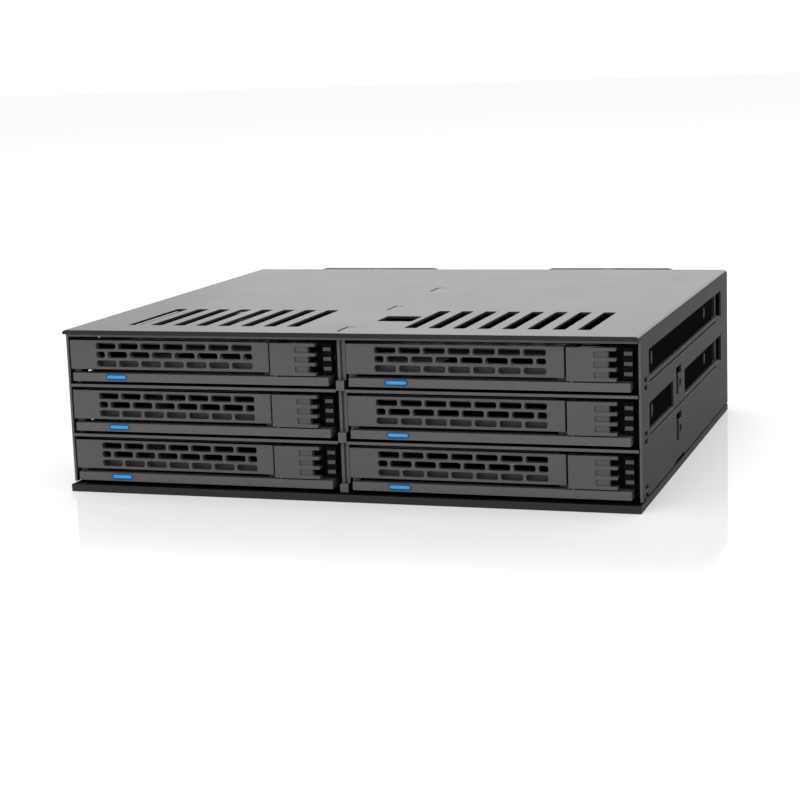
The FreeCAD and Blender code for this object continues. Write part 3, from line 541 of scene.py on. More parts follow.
# Painted shade: near-black plastic on the bezels' deep pockets and top edges and on the latches behind their
# fronts; the drive pins are moulded in it too.
BLACK_AND_SHADE_PLASTIC = MouldedPlastic("black_and_shade_plastic", (0.003, 0.003, 0.0034), 0.55, 0.05)
FAN_PLASTIC = MouldedPlastic("fan_plastic", (0.022, 0.022, 0.024), 0.36, 0.5, 1500.0, 0.01)
PORT_PLASTIC = MouldedPlastic("port_plastic", (0.018, 0.018, 0.02), 0.34, 0.5, 3000.0, 0.004)
KNOB_PLASTIC = MouldedPlastic("knob_plastic", (0.62, 0.62, 0.60), 0.4)
CHIP_RESIN = MouldedPlastic("chip_resin", (0.03, 0.03, 0.032), 0.55, 0.4, 4000.0, 0.006)
LABEL_FILM = MouldedPlastic("label_film", (0.55, 0.56, 0.58), 0.3, 0.5, 900.0, 0.002)
GUIDE_PLASTIC = MouldedPlastic("guide_plastic", (0.16, 0.17, 0.18), 0.2, 0.5, 900.0, 0.001)
LENS_RIM = LitPlastic("lens_rim", (0.002, 0.012, 0.034), (0.002, 0.05, 0.16), 0.9, 0.2)
LENS_CORE = LitPlastic("lens_core", (0.01, 0.08, 0.2), (0.022, 0.25, 0.56), 0.9, 0.3)
PIN_METAL = PlainMetal("pin_metal", (0.12, 0.12, 0.125), 0.4)
SCREW_METAL = PlainMetal("screw_metal", (0.09, 0.09, 0.095), 0.38)
BRASS = PlainMetal("brass", (0.78, 0.57, 0.26), 0.28)
GOLD = PlainMetal("gold", (0.95, 0.70, 0.30), 0.22)
TIN = PlainMetal("tin", (0.70, 0.71, 0.72), 0.25)
BOARD_MASK = SolderMask("board_mask", (0.003, 0.016, 0.009), (0.008, 0.034, 0.018))


# Shaping


def add_box(shape: Shape, low: Vector, high: Vector) -> list[bmesh.types.BMVert]:
    """Add a block between two corners to a shape.

    Args:
        shape: The shape that the block joins.
        low: Lowest corner, in metres.
        high: Highest corner, in metres.

    Returns:
        The block's corners.
    """
    low, high = Vector(low), Vector(high)
    place = Matrix.Translation((low + high) / 2) @ Matrix.Diagonal((*(high - low), 1.0))
    return bmesh.ops.create_cube(shape, size=1.0, matrix=place)["verts"]


def add_block(shape: Shape, across: Spot, back: Spot, up: Spot) -> list[bmesh.types.BMVert]:
    """Add a block from its ends along X, Y and Z in millimetres, and give its corners."""
    low, high = (Vector(corner) * MM for corner in zip(across, back, up))
    return add_box(shape, low, high)


def add_turned(shape: Shape, profile: list[Spot], centre: Vector, turn: Matrix,
               steps: int = 32) -> None:
    """Add a solid of revolution to a shape.

    Args:
        shape: The shape that the solid joins.
        profile: Radius and height in millimetres, from the foot's middle to the top's middle.
        centre: Place of the foot's middle, in metres.
        turn: Turns +Z to the solid's own axis.
        steps: Number of faces round the solid.
    """
    place = Matrix.Translation(centre) @ turn.to_4x4()
    rings = []
    for radius, height in profile:
        if radius == 0.0:
            rings.append([shape.verts.new(place @ Vector((0.0, 0.0, height * MM)))])
            continue
        ring = []
        for step in range(steps):
            angle = step * math.tau / steps
            spot = Vector((math.cos(angle) * radius, math.sin(angle) * radius, height)) * MM
            ring.append(shape.verts.new(place @ spot))
        rings.append(ring)
    for lower, upper in zip(rings, rings[1:]):
        for step in range(steps):
            after = (step + 1) % steps
            corners = [lower[step % len(lower)], lower[after % len(lower)],
                       upper[after % len(upper)], upper[step % len(upper)]]
            shape.faces.new(list(dict.fromkeys(corners)))


def mesh_of(name: str, shape: Shape) -> Mesh:
    """Write a shape into a new mesh and free it.

    Args:
        name: Name of the mesh.
        shape: The shape.

    Returns:
        The mesh.
    """
    mesh = bpy.data.meshes.new(name)
    shape.to_mesh(mesh)
    shape.free()
    return mesh


def shape_of(mesh: Mesh) -> Shape:
    """Read a mesh into a new shape and remove it.

    Args:
        mesh: The mesh.

    Returns:
        The shape.
    """
    shape = bmesh.new()
    shape.from_mesh(mesh)
    bpy.data.meshes.remove(mesh)
    return shape


def add_object(name: str, data: bpy.types.ID) -> Object:
    """Add an object to the scene.

    Args:
        name: Name of the object.
        data: Its mesh, lamp or camera.

    Returns:
        The object.
    """
    thing = bpy.data.objects.new(name, data)
    bpy.context.scene.collection.objects.link(thing)
    return thing


def add_copy(shape: Shape, mesh: Mesh, place: Matrix) -> None:
    """Add a copy of a mesh to a shape.

    Args:
        shape: The shape that the copy joins.
        mesh: The mesh to copy.
        place: Where the copy goes.
    """
    known = set(shape.verts)
    shape.from_mesh(mesh)
    fresh = [vert for vert in shape.verts if vert not in known]
    bmesh.ops.transform(shape, matrix=place, verts=fresh)


def combine(shape: Shape, other: Shape, way: str) -> Mesh:
    """Cut one shape by another, or join them.

    Args:
        shape: The shape that stays.
        other: The shape that cuts it or joins it.
        way: DIFFERENCE or UNION.

    Returns:
        The mesh that comes of it.
    """
    solid, tool = (add_object("helper", mesh_of("helper", part)) for part in (shape, other))
    step = solid.modifiers.new("step", "BOOLEAN")
    step.object = tool
    step.operation = way
    step.solver = "EXACT"
    step.use_self = way == "DIFFERENCE"
    bpy.context.view_layer.update()
    made = bpy.data.meshes.new_from_object(solid.evaluated_get(bpy.context.evaluated_depsgraph_get()))
    for thing in (solid, tool):
        mesh = thing.data
        bpy.data.objects.remove(thing)
        bpy.data.meshes.remove(mesh)
    return made


def soften(piece: Object, width: float, segments: int = 2) -> None:
    """Round a piece's sharp edges.

    Args:
        piece: The piece.
        width: Width of the rounding in millimetres.
        segments: Number of faces across the rounding.
    """
    edge = piece.modifiers.new("soft_edges", "BEVEL")
    edge.width = width * MM
    edge.segments = segments
    edge.limit_method = "ANGLE"
    edge.angle_limit = SHARP
    edge.use_clamp_overlap = False
    edge.loop_slide = False
    edge.harden_normals = True


def finish_piece(name: str, mesh: Mesh, finishes: list[Finish], body: str) -> Object:
    """Turn a mesh into a piece that rides on a body.

    Args:
        name: Name of the piece.
        mesh: Its mesh, in the frame.
        finishes: Its finishes, in the order of the mesh's material numbers.
        body: Body that it rides on.

    Returns:
        The piece.
    """
    for finish in finishes:
        mesh.materials.append(finish.material())
    for face in mesh.polygons:
        face.use_smooth = True
    piece = add_object(name, mesh)
    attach(piece, body)
    LOG.info("%s: %d faces on %s", name, len(mesh.polygons), body)
    return piece


def shape_piece(name: str, shape: Shape, finish: Finish,
                body: str = Body.CAGE.value) -> Object:
    """Turn a shape into a piece, with its faces all turned outwards.

    Args:
        name: Name of the piece.
        shape: Its shape, which is freed.
        finish: Its finish.
        body: Body that it rides on.

    Returns:
        The piece.
    """
    bmesh.ops.recalc_face_normals(shape, faces=shape.faces)
    return finish_piece(name, mesh_of(name, shape), [finish], body)


@dataclass
class Zone:
    """Faces of a skin that wear a finish of their own, often painted light or shade: by the way they look
    and by their place.

    Depths are in millimetres from the skin's front, and the height is from its top.
    """

    finish: Finish
    looks: Vector | None = None
    deeper: float = 0.0
    nearer: float = math.inf
    higher: float = math.inf

    def holds(self, face: bmesh.types.BMFace, front: float, top: float) -> bool:
        """Tell whether a face belongs to the zone.

        Args:
            face: The face.
            front: Front of its skin along Y, in metres.
            top: Top of its skin, in metres.

        Returns:
            True where it does.
        """
        middle = face.calc_center_median()
        deep = (middle.y - front) / MM
        looks = self.looks is None or face.normal.dot(self.looks) > ROUGHLY
        return looks and self.deeper <= deep < self.nearer and (top - middle.z) / MM < self.higher


UP = Vector((0.0, 0.0, 1.0))
AHEAD = Vector((0.0, -1.0, 0.0))
LEFTWARD = Vector((-1.0, 0.0, 0.0))
RIGHTWARD = Vector((1.0, 0.0, 0.0))

# Lays what stands along +Z down, so that it points backward.
LAID_BACK = Matrix.Rotation(math.radians(-90), 3, "X")


@dataclass
class Skin:
    """A copy of CAD parts with whole flat faces, soft edges and finishes."""

    nodes: tuple[str, ...]
    finish: Finish
    slot: Slot
    edge: float = 0.12
    zones: tuple[Zone, ...] = ()
    segments: int = 2
    least_opening: float = math.inf
    parted_at: Vector | None = None
    parted_reach: float = 0.3

    def welded(self, node: str) -> Shape:
        """Copy one part's mesh and weld it.

        Args:
            node: The part.

        Returns:
            Its shape.
        """
        source = frame["nodes"][node].data
        mesh = bpy.data.meshes.new("copy")
        corners = [vert.co for vert in source.vertices]
        mesh.from_pydata(corners, [], [tuple(face.vertices) for face in source.polygons])
        shape = shape_of(mesh)
        bmesh.ops.remove_doubles(shape, verts=shape.verts, dist=WELD)
        return shape

    def joined(self) -> Shape:
        """Copy the parts, and join those that stand on each other into one sheet.

        Returns:
            The shape that comes of it.
        """
        shape = self.welded(self.nodes[0])
        for node in self.nodes[1:]:
            shape = shape_of(combine(shape, self.welded(node), "UNION"))
        return shape

    def opening_lines(self, shape: Shape, facing: int, along: int) -> list[float]:
        """Find where the straight edges of the openings in some faces stand.

        Args:
            shape: The mesh.
            facing: Axis that the faces look along.
            along: Axis that the places are counted along; the edges run across it.

        Returns:
            The places, in rising order.
        """
        found = set()
        for edge in shape.edges:
            way = edge.verts[1].co - edge.verts[0].co
            straight = abs(way[facing]) < WELD and abs(way[along]) < WELD
            if straight and way.length > self.least_opening * MM and len(edge.link_faces) == 2:
                looks = any(abs(face.normal[facing]) > STRAIGHT for face in edge.link_faces)
                if looks and edge.calc_face_angle() > SHARP:
                    found.add(round(edge.verts[0].co[along], 5))
        return sorted(found)

    def part(self, shape: Shape, faces: list[bmesh.types.BMFace], along: int,
             place: float) -> None:
        """Part some faces at one place along an axis, and keep the new edges.

        Args:
            shape: The mesh.
            faces: The faces to part.
            along: The axis.
            place: The place along it, in metres.
        """
        across = Vector((0.0, 0.0, 0.0))
        across[along] = 1.0
        edges = {edge for face in faces for edge in face.edges}
        verts = {vert for face in faces for vert in face.verts}
        cut = bmesh.ops.bisect_plane(shape, geom=[*verts, *edges, *faces], dist=WELD,
                                     plane_co=across * place, plane_no=across)
        for line in cut["geom_cut"]:
            if isinstance(line, bmesh.types.BMEdge):
                line.seam = True

    def part_faces(self, shape: Shape) -> None:
        """Part the flat faces at the straight edges of their openings and at the status light.

        The rounding of edges that stand near each other stays true that way. Round holes part nothing.

        Args:
            shape: The mesh.
        """
        shape.normal_update()
        for facing, along in ((0, 1), (0, 2), (1, 0)):
            for place in self.opening_lines(shape, facing, along):
                faces = [face for face in shape.faces if abs(face.normal[facing]) > STRAIGHT]
                self.part(shape, faces, along, place)
        if self.parted_at is not None:
            reach = self.parted_reach * MM
            faces = [face for face in shape.faces if face.normal.dot(AHEAD) > STRAIGHT
                     and all(abs(vert.co.y - self.parted_at.y) < reach for vert in face.verts)]
            self.part(shape, faces, 0, self.parted_at.x)

    def whole_faces(self) -> Mesh:
        """Join the flat triangles of the copy and mark its zones.

        Returns:
            The skin's mesh.
        """
        shape = self.joined()
        bmesh.ops.remove_doubles(shape, verts=shape.verts, dist=WELD)
        self.part_faces(shape)
        bmesh.ops.dissolve_limit(shape, angle_limit=FLAT, verts=shape.verts, edges=shape.edges,
                                 delimit={"SEAM"})
        front = min(vert.co.y for vert in shape.verts)
        top = max(vert.co.z for vert in shape.verts)
        for face in shape.faces:
            face.material_index = 0
            for number, zone in enumerate(self.zones, start=1):
                if zone.holds(face, front, top):
                    face.material_index = number
        return mesh_of(f"{self.nodes[0]}_skin", shape)

    def build(self) -> None:
        """Make the skin and let it stand for the parts."""
        finishes = [self.finish, *(zone.finish for zone in self.zones)]
        body = frame["nodes"][self.nodes[0]]["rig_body"]
        piece = finish_piece(f"{self.nodes[0]}_skin", self.whole_faces(), finishes, body)
        soften(piece, self.edge, self.segments)
        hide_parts(*self.nodes)


# Sub-assemblies


@dataclass
class Case:
    """Pressed steel case: lid with sides, base, divider, shelves and back panel."""

    sheet_edge: float = 0.14
    front_edge: float = 0.16
    least_opening: float = 0.9
    # Depths in millimetres of the painted shade on the lips' fronts and of the painted light on the walls'
    # and the divider's fronts.
    lip_depth: float = 0.5
    wall_depth: float = 3.0
    divider_depth: float = 2.6

    def build(self) -> None:
        """Build each sheet of the case."""
        # Painted light: the lid's upward faces are painted lighter and shinier than its sides.
        lid = Zone(LIT_LID_PAINT, looks=UP)
        # Painted shade: the lips' front faces are painted darker.
        shaded_lip_zone = Zone(SHADED_LIP_PAINT, looks=AHEAD, nearer=self.lip_depth)
        # Painted light: the walls' front edges are painted lighter.
        lit_wall_edge = Zone(LIT_FRONT_PAINT, looks=AHEAD, deeper=self.lip_depth, nearer=self.wall_depth)
        Skin(("cover", "side_wall_left", "side_wall_right", "side_rails"), CASE_PAINT, Slot.CASE,
             self.sheet_edge, (lid, shaded_lip_zone, lit_wall_edge), least_opening=self.least_opening).build()
        # Painted shade: the base's upward faces are near black, and its lip's front faces are painted
        # darker.
        inside = Zone(SHADE_PAINT, looks=UP)
        Skin(("base_tray",), CASE_PAINT, Slot.CASE, self.front_edge, (inside, shaded_lip_zone)).build()
        # Painted shade and light: the divider is near black, with the faces of its front painted lighter.
        Skin(("centre_divider",), SHADE_PAINT, Slot.CASE, self.front_edge,
             (Zone(LIT_FRONT_PAINT, nearer=self.divider_depth),)).build()
        Skin(("rear_panel",), CASE_PAINT, Slot.CASE, self.sheet_edge).build()
        for row in (Row.MIDDLE, Row.UPPER):
            for column in Column:
                node = f"shelf_{row.value}_{column.value}"
                # Painted shade and light: each shelf is near black, with its forward faces painted lighter.
                Skin((node,), SHADE_PAINT, Slot.CASE, self.sheet_edge,
                     (Zone(LIT_FRONT_PAINT, looks=AHEAD),)).build()


@dataclass
class Bay:
    """One bay: tray, slotted front, release lever, latch, pin and status light."""

    row: Row
    column: Column
    # Depths and height in millimetres of the painted shade on the bezel and the latch, and of the strip's
    # own plastic.
    inner_depth: float = 2.9
    rib_depth: float = 3.7
    strip_depth: float = 0.3
    top_height: float = 0.45
    latch_depth: float = 0.4
    lens_depth: float = 1.2
    core_inset: float = 0.36
    core_proud: float = 0.04
    core_sunk: float = 0.2
    core_steps: int = 8
    core_edge: float = 0.05
    plastic_edge: float = 0.07
    lever_edge: float = 0.05
    sheet_edge: float = 0.08
    pin_backs: Spot = (14.0, 90.6)
    pin_rise: float = 3.5
    pin_radius: float = 1.6
    pin_foot: float = 0.5

    @property
    def place(self) -> str:
        """Name of the bay's place in the cage."""
        return f"{self.row.value}_{self.column.value}"

    def build(self) -> None:
        """Build the pieces of the bay."""
        # Painted shade: the tray's outer sides are near black and without shine.
        self.wear("tray", TRAY_PAINT, Slot.TRAY, self.sheet_edge,
                  Zone(SHADED_TRAY_SIDE_PAINT, looks=LEFTWARD), Zone(SHADED_TRAY_SIDE_PAINT, looks=RIGHTWARD))
        # Painted shade: the bezel's faces deeper than inner_depth and near its top are near black, save the
        # ribs' front faces.
        self.wear("bezel", FACE_PLASTIC, Slot.BEZEL, self.plastic_edge,
                  Zone(BLACK_AND_SHADE_PLASTIC, deeper=self.inner_depth),
                  Zone(FACE_PLASTIC, looks=AHEAD, deeper=self.inner_depth, nearer=self.rib_depth),
                  Zone(STRIP_PLASTIC, looks=AHEAD, nearer=self.strip_depth),
                  Zone(BLACK_AND_SHADE_PLASTIC, higher=self.top_height))
        self.wear("lever", LEVER_PLASTIC, Slot.LEVER, self.lever_edge)
        # Painted shade: the latch is near black behind its front.
        self.wear("latch", BLACK_AND_SHADE_PLASTIC, Slot.LATCH, self.lever_edge,
                  Zone(LATCH_PLASTIC, nearer=self.latch_depth))
        self.wear("lever_pin", PIN_METAL, Slot.PIN, self.lever_edge)
        self.wear("light_pipe", LENS_RIM, Slot.LIGHT, self.lever_edge,
                  Zone(GUIDE_PLASTIC, deeper=self.lens_depth))
        self.build_lens_core()
        self.build_drive_pins()

    def wear(self, kind: str, finish: Finish, slot: Slot, edge: float, *zones: Zone) -> None:
        """Build the skin of one of the bay's CAD parts, parted at the status light if it holds it.

        Args:
            kind: The part's name, without the bay's place.
            finish: Finish of the faces outside the zones.
            slot: Material slot of the record; not used.
            edge: Width of the rounding in millimetres.
            *zones: Faces with a finish of their own, or with painted shade.
        """
        low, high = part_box(f"light_pipe_{self.place}")
        middle = Vector(((low.x + high.x) / 2, low.y, low.z))
        Skin((f"{kind}_{self.place}",), finish, slot, edge, zones, parted_at=middle).build()

    def build_drive_pins(self) -> None:
        """Build the four plastic pins in the tray's side holes, which hold a drive by its own holes."""
        low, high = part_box(f"tray_{self.place}")
        shape = bmesh.new()
        foot, reach = self.pin_foot, self.pin_radius
        profile = [(0.0, 0.0), (reach, 0.0), (reach, foot), (reach * 0.72, foot + 0.05),
                   (reach * 0.66, foot + 0.6), (reach * 0.5, foot + 0.75), (0.0, foot + 0.75)]
        for back in self.pin_backs:
            for x, turn in ((low.x, 90.0), (high.x, -90.0)):
                centre = Vector((x, high.y - back * MM, low.z + self.pin_rise * MM))
                lay = Matrix.Rotation(math.radians(turn), 3, "Y")
                add_turned(shape, profile, centre, lay, steps=24)
        shape_piece(f"drive_pins_{self.place}", shape, BLACK_AND_SHADE_PLASTIC, f"bay_{self.place}")

    def build_lens_core(self) -> None:
        """Build the bright heart of the status light, a long rounded bead in the lens."""
        low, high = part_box(f"light_pipe_{self.place}")
        inset = self.core_inset * MM
        left, right = low.x + inset, high.x - inset
        middle = (low.z + high.z) / 2
        radius = (high.z - low.z) / 2 - inset
        shape = bmesh.new()
        front, back = low.y - self.core_proud * MM, low.y + self.core_sunk * MM
        outline = []
        for end, start in ((right - radius, -90), (left + radius, 90)):
            for step in range(self.core_steps + 1):
                angle = math.radians(start + step * 180.0 / self.core_steps)
                outline.append((end + math.cos(angle) * radius, middle + math.sin(angle) * radius))
        foot = shape.faces.new([shape.verts.new((x, back, z)) for x, z in outline])
        bead = bmesh.ops.extrude_face_region(shape, geom=[foot])["geom"]
        rim = [part for part in bead if isinstance(part, bmesh.types.BMVert)]
        bmesh.ops.translate(shape, verts=rim, vec=(0.0, front - back, 0.0))
        piece = shape_piece(f"lens_core_{self.place}", shape, LENS_CORE, f"bay_{self.place}")
        soften(piece, self.core_edge)


@dataclass
class ScrewHead:
    """Pan-head screw with a cross recess, standing on a plate."""

    head_radius: float
    head_height: float
    shank_radius: float = 1.5
    shank_length: float = 5.6
    cross_reach: float = 0.6
    cross_half: float = 0.13
    cross_foot: float = 0.35
    cross_top: float = 1.2
    cross_shift: float = 1.02

    def mesh(self) -> Mesh:
        """Turn the screw along +Z with its head's foot at the origin, and cut its recess.

        The head's outline and the recess are given in shares of the head's radius and height. One
        of the recess's two bars is shifted a little, so that their ends don't coincide.

        Returns:
            The screw's mesh.
        """
        head, tall = self.head_radius, self.head_height
        profile = [(0.0, -self.shank_length), (self.shank_radius * 0.8, -self.shank_length),
                   (self.shank_radius, -self.shank_length * 0.93), (self.shank_radius, 0.0),
                   (head * 0.97, 0.0), (head, tall * 0.12), (head * 0.98, tall * 0.4),
                   (head * 0.86, tall * 0.72), (head * 0.62, tall * 0.93), (head * 0.3, tall),
                   (0.0, tall)]
        shape = bmesh.new()
        add_turned(shape, profile, Vector(), Matrix.Identity(3), steps=40)
        bmesh.ops.recalc_face_normals(shape, faces=shape.faces)
        cross = bmesh.new()
        long, wide = head * self.cross_reach * MM, head * self.cross_half * MM
        depth, above = tall * self.cross_foot * MM, tall * self.cross_top * MM
        add_box(cross, (-long, -wide, depth), (long, wide, above))
        add_box(cross, (-wide, -long, depth * self.cross_shift), (wide, long, above * self.cross_shift))
        return combine(shape, cross, "DIFFERENCE")


@dataclass
class Fasteners:
    """Screws of the fans and of the backplane."""

    seed: int = 11
    fan_pitch: float = 32.0
    fan_offset: float = 36.5
    middle_z: float = 20.65
    head_radius: float = 2.8
    head_height: float = 1.2
    fan_shank: float = 10.7
    post_x: float = 65.0
    post_low: float = 6.0
    post_high: float = 35.3
    board_head_radius: float = 2.24
    board_head_height: float = 0.7

    def build(self) -> None:
        """Build both sets of screws."""
        chance = random.Random(self.seed)
        half = self.fan_pitch / 2
        _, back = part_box("fan_screws")
        plate = back.y / MM - self.head_height
        places = [(side * self.fan_offset + x, self.middle_z + z)
                  for side in (-1, 1) for x in (-half, half) for z in (-half, half)]
        large = ScrewHead(self.head_radius, self.head_height, shank_length=self.fan_shank).mesh()
        self.stand("fan_screws", large, places, plate, 1, chance)
        front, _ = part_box("board_screws")
        posts = [(side * self.post_x, z) for side in (-1, 1) for z in (self.post_low, self.post_high)]
        small = ScrewHead(self.board_head_radius, self.board_head_height).mesh()
        plate = front.y / MM + self.board_head_height
        self.stand("board_screws", small, posts, plate, -1, chance)

    def stand(self, node: str, mesh: Mesh, places: list[Spot], plate: float, way: int,
              chance: random.Random) -> None:
        """Stand screws on a plate, each turned as it was driven home.

        Args:
            node: CAD part that the screws stand for.
            mesh: One screw.
            places: Their places along X and Z in millimetres.
            plate: Place of the plate along Y in millimetres.
            way: 1 where their heads look backward, -1 where they look forward.
            chance: Seeded source of the turns.
        """
        shape = bmesh.new()
        lay = Matrix.Rotation(math.radians(-90 * way), 4, "X")
        for x, z in places:
            driven = Matrix.Rotation(chance.uniform(0.0, math.tau), 4, "Z")
            spot = Vector((x, plate, z)) * MM
            add_copy(shape, mesh, Matrix.Translation(spot) @ lay @ driven)
        piece = shape_piece(f"{node}_crossed", shape, SCREW_METAL)
        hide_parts(node)


@dataclass
class Contacts:
    """A row of gold contact strips on a tongue or in a mouth."""

    pitch: float
    width: float
    count: int

    def lay(self, shape: Shape, middle: Spot, depth: Spot, thick: float) -> None:
        """Lay the strips side by side along X.

        Args:
            shape: The shape that the strips join.
            middle: Middle of the row along X and Z, on the face that carries it, in millimetres.
            depth: Front and back of the strips in millimetres.
            thick: Thickness in millimetres, upwards.
        """
        start = middle[0] - (self.count - 1) / 2 * self.pitch
        up = (middle[1], middle[1] + thick)
        for number in range(self.count):
            x = start + number * self.pitch
            add_block(shape, (x - self.width / 2, x + self.width / 2), depth, up)


@dataclass
class Backplane:
    """Circuit board with its sockets, ports, posts, chips and capacitors."""

    seed: int = 5

    # Rounded edges
    board_edge: float = 0.1
    part_edge: float = 0.15
    socket_gold_edge: float = 0.04
    port_gold_edge: float = 0.03
    chip_edge: float = 0.12
    lead_edge: float = 0.03
    small_edge: float = 0.1

    # Drive sockets and their contacts
    bay_middle: float = 36.7
    row_pitch: float = 12.7
    socket_middle: float = 8.7
    mouth: float = 1.4
    socket_insets: Spot = (0.4, 1.6)
    signal_shift: float = -13.0
    power_shift: float = 6.0
    socket_gold: float = 0.12

    # Data ports, power sockets and their contacts
    port_insets: Spot = (6.6, 1.0)
    port_gold: float = 0.08
    port_pitch_x: float = 14.2
    port_pitch_z: float = 6.6
    port_low: float = 4.2
    port_height: float = 6.0
    power_pitch: float = 7.4
    power_height: float = 6.8
    tongue: float = 1.2

    # Chips and their leads, and capacitors
    chip_thick: float = 1.2
    chip_gap: float = 0.15
    lead_pitch: float = 0.8
    lead_half: float = 0.15
    lead_parts: tuple[tuple[Spot, Spot], ...] = (
        ((-0.1, 0.5), (0.5, 0.7)), ((0.35, 0.55), (0.0, 0.7)), ((0.4, 1.0), (0.0, 0.18)))
    chips: tuple[Triple, ...] = (
        (-30.0, 12.6, 5.0), (30.0, 12.6, 5.0), (-47.0, 25.3, 4.0), (47.0, 25.3, 4.0))
    cans: tuple[Spot, ...] = (
        (-21.0, 30.0), (-21.0, 22.0), (21.0, 30.0), (21.0, 22.0), (-56.0, 12.0), (56.0, 12.0))

    # Small parts in lines and rows, the room that they leave, and the share that is left out
    lines: int = 9
    rows: int = 5
    first: Spot = (26.0, 5.0)
    step: Spot = (4.1, 7.6)
    small_half: Spot = (0.8, 0.4)
    small_thick: float = 0.5
    chip_room: float = 2.2
    can_room: float = 5.0
    post_x: float = 65.0
    post_room: float = 4.5
    left_out: float = 0.3

    def build(self) -> None:
        """Build the board, its sockets and what is soldered to it."""
        Skin(("backplane_board",), BOARD_MASK, Slot.BOARD, self.board_edge).build()
        for node in ("drive_sockets", "data_ports", "power_sockets"):
            Skin((node,), PORT_PLASTIC, Slot.PORT, self.part_edge).build()
        Skin(("board_standoffs",), BRASS, Slot.POST, self.part_edge).build()
        self.build_socket_contacts()
        self.build_port_contacts()
        self.build_chips()
        self.build_cans()
        self.build_small_parts()

    def build_socket_contacts(self) -> None:
        """Lay the signal and power contacts in each drive socket's mouth."""
        low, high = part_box("drive_sockets")
        depth = (low.y / MM + self.socket_insets[0], high.y / MM - self.socket_insets[1])
        shape = bmesh.new()
        signal = Contacts(pitch=1.27, width=0.7, count=7)
        power = Contacts(pitch=1.27, width=0.7, count=15)
        for column in (-1, 1):
            for row in range(len(Row)):
                floor = self.socket_middle + row * self.row_pitch - self.mouth / 2
                middle = column * self.bay_middle
                signal.lay(shape, (middle + self.signal_shift, floor), depth, self.socket_gold)
                power.lay(shape, (middle + self.power_shift, floor), depth, self.socket_gold)
        piece = shape_piece("socket_contacts", shape, GOLD)
        soften(piece, self.socket_gold_edge, segments=1)

    def build_port_contacts(self) -> None:
        """Lay the contacts on the tongues of the data and the power sockets."""
        _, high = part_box("data_ports")
        depth = tuple(high.y / MM - inset for inset in self.port_insets)
        shape = bmesh.new()
        data = Contacts(pitch=1.1, width=0.55, count=7)
        power = Contacts(pitch=1.27, width=0.7, count=14)
        for column in (-0.5, 0.5):
            for row in range(3):
                top = self.port_low + row * self.port_pitch_z + (self.port_height + self.tongue) / 2
                data.lay(shape, (column * self.port_pitch_x, top), depth, self.port_gold)
        low = self.port_low + 3 * self.port_pitch_z
        for row in range(2):
            top = low + row * self.power_pitch + (self.power_height + self.tongue) / 2
            power.lay(shape, (0.0, top), depth, self.port_gold)
        piece = shape_piece("port_contacts", shape, GOLD)
        soften(piece, self.port_gold_edge, segments=1)

    def build_chips(self) -> None:
        """Build the flat chips and their leads on the back of the board."""
        _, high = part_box("backplane_board")
        back = high.y / MM
        resin, leads = bmesh.new(), bmesh.new()
        for x, z, half in self.chips:
            foot = back + self.chip_gap
            add_block(resin, (x - half, x + half), (foot, foot + self.chip_thick), (z - half, z + half))
            count = int(half * 2 / self.lead_pitch) - 1
            for side in (-1, 1):
                for number in range(count):
                    at = (number - (count - 1) / 2) * self.lead_pitch
                    self.add_lead(leads, (x + side * half, z + at), (side, 0), back)
                    self.add_lead(leads, (x + at, z + side * half), (0, side), back)
        soften(shape_piece("board_chips", resin, CHIP_RESIN), self.chip_edge)
        soften(shape_piece("chip_leads", leads, TIN), self.lead_edge, segments=1)

    def add_lead(self, shape: Shape, root: Spot, way: tuple[int, int], back: float) -> None:
        """Add one chip lead, out from the chip's side and down to the board.

        Args:
            shape: The shape that the lead joins.
            root: Where it leaves the chip, along X and Z in millimetres.
            way: Its direction along X and Z.
            back: The board's back along Y in millimetres.
        """
        for reach, (low, high) in self.lead_parts:
            spans = []
            for centre, step in zip(root, way):
                ends = (step * end for end in reach) if step else (-self.lead_half, self.lead_half)
                spans.append(sorted(centre + end for end in ends))
            add_block(shape, spans[0], (back + low, back + high), spans[1])

    def build_cans(self) -> None:
        """Build the round capacitors with their crimped feet and sunk tops."""
        _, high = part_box("backplane_board")
        profile = [(0.0, 0.0), (2.9, 0.0), (3.0, 0.15), (3.0, 1.0), (2.7, 1.35), (2.7, 1.6),
                   (3.0, 1.95), (3.0, 6.4), (2.85, 6.7), (2.5, 6.75), (2.4, 6.6), (0.0, 6.6)]
        shape = bmesh.new()
        for x, z in self.cans:
            add_turned(shape, profile, Vector((x * MM, high.y, z * MM)), LAID_BACK, steps=36)
        shape_piece("board_capacitors", shape, TIN)

    def build_small_parts(self) -> None:
        """Scatter small resistors between the chips, in neat rows."""
        _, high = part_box("backplane_board")
        back = high.y / MM
        chance = random.Random(self.seed)
        shape = bmesh.new()
        wide, tall = self.small_half
        for column in (-1, 1):
            for line in range(self.lines):
                for row in range(self.rows):
                    x = column * (self.first[0] + line * self.step[0])
                    z = self.first[1] + row * self.step[1]
                    if self.taken(x, z) or chance.random() < self.left_out:
                        continue
                    add_block(shape, (x - wide, x + wide), (back, back + self.small_thick),
                              (z - tall, z + tall))
        soften(shape_piece("board_resistors", shape, CHIP_RESIN), self.small_edge)

    def taken(self, x: float, z: float) -> bool:
        """Tell whether a chip, a capacitor or a post stands too near for a small part.

        Args:
            x: The part's place along X in millimetres.
            z: Its place along Z in millimetres.

        Returns:
            True where one does.
        """
        chip = any(max(abs(x - cx), abs(z - cz)) < half + self.chip_room for cx, cz, half in self.chips)
        can = any(math.hypot(x - cx, z - cz) < self.can_room for cx, cz in self.cans)
        return chip or can or abs(abs(x) - self.post_x) < self.post_room


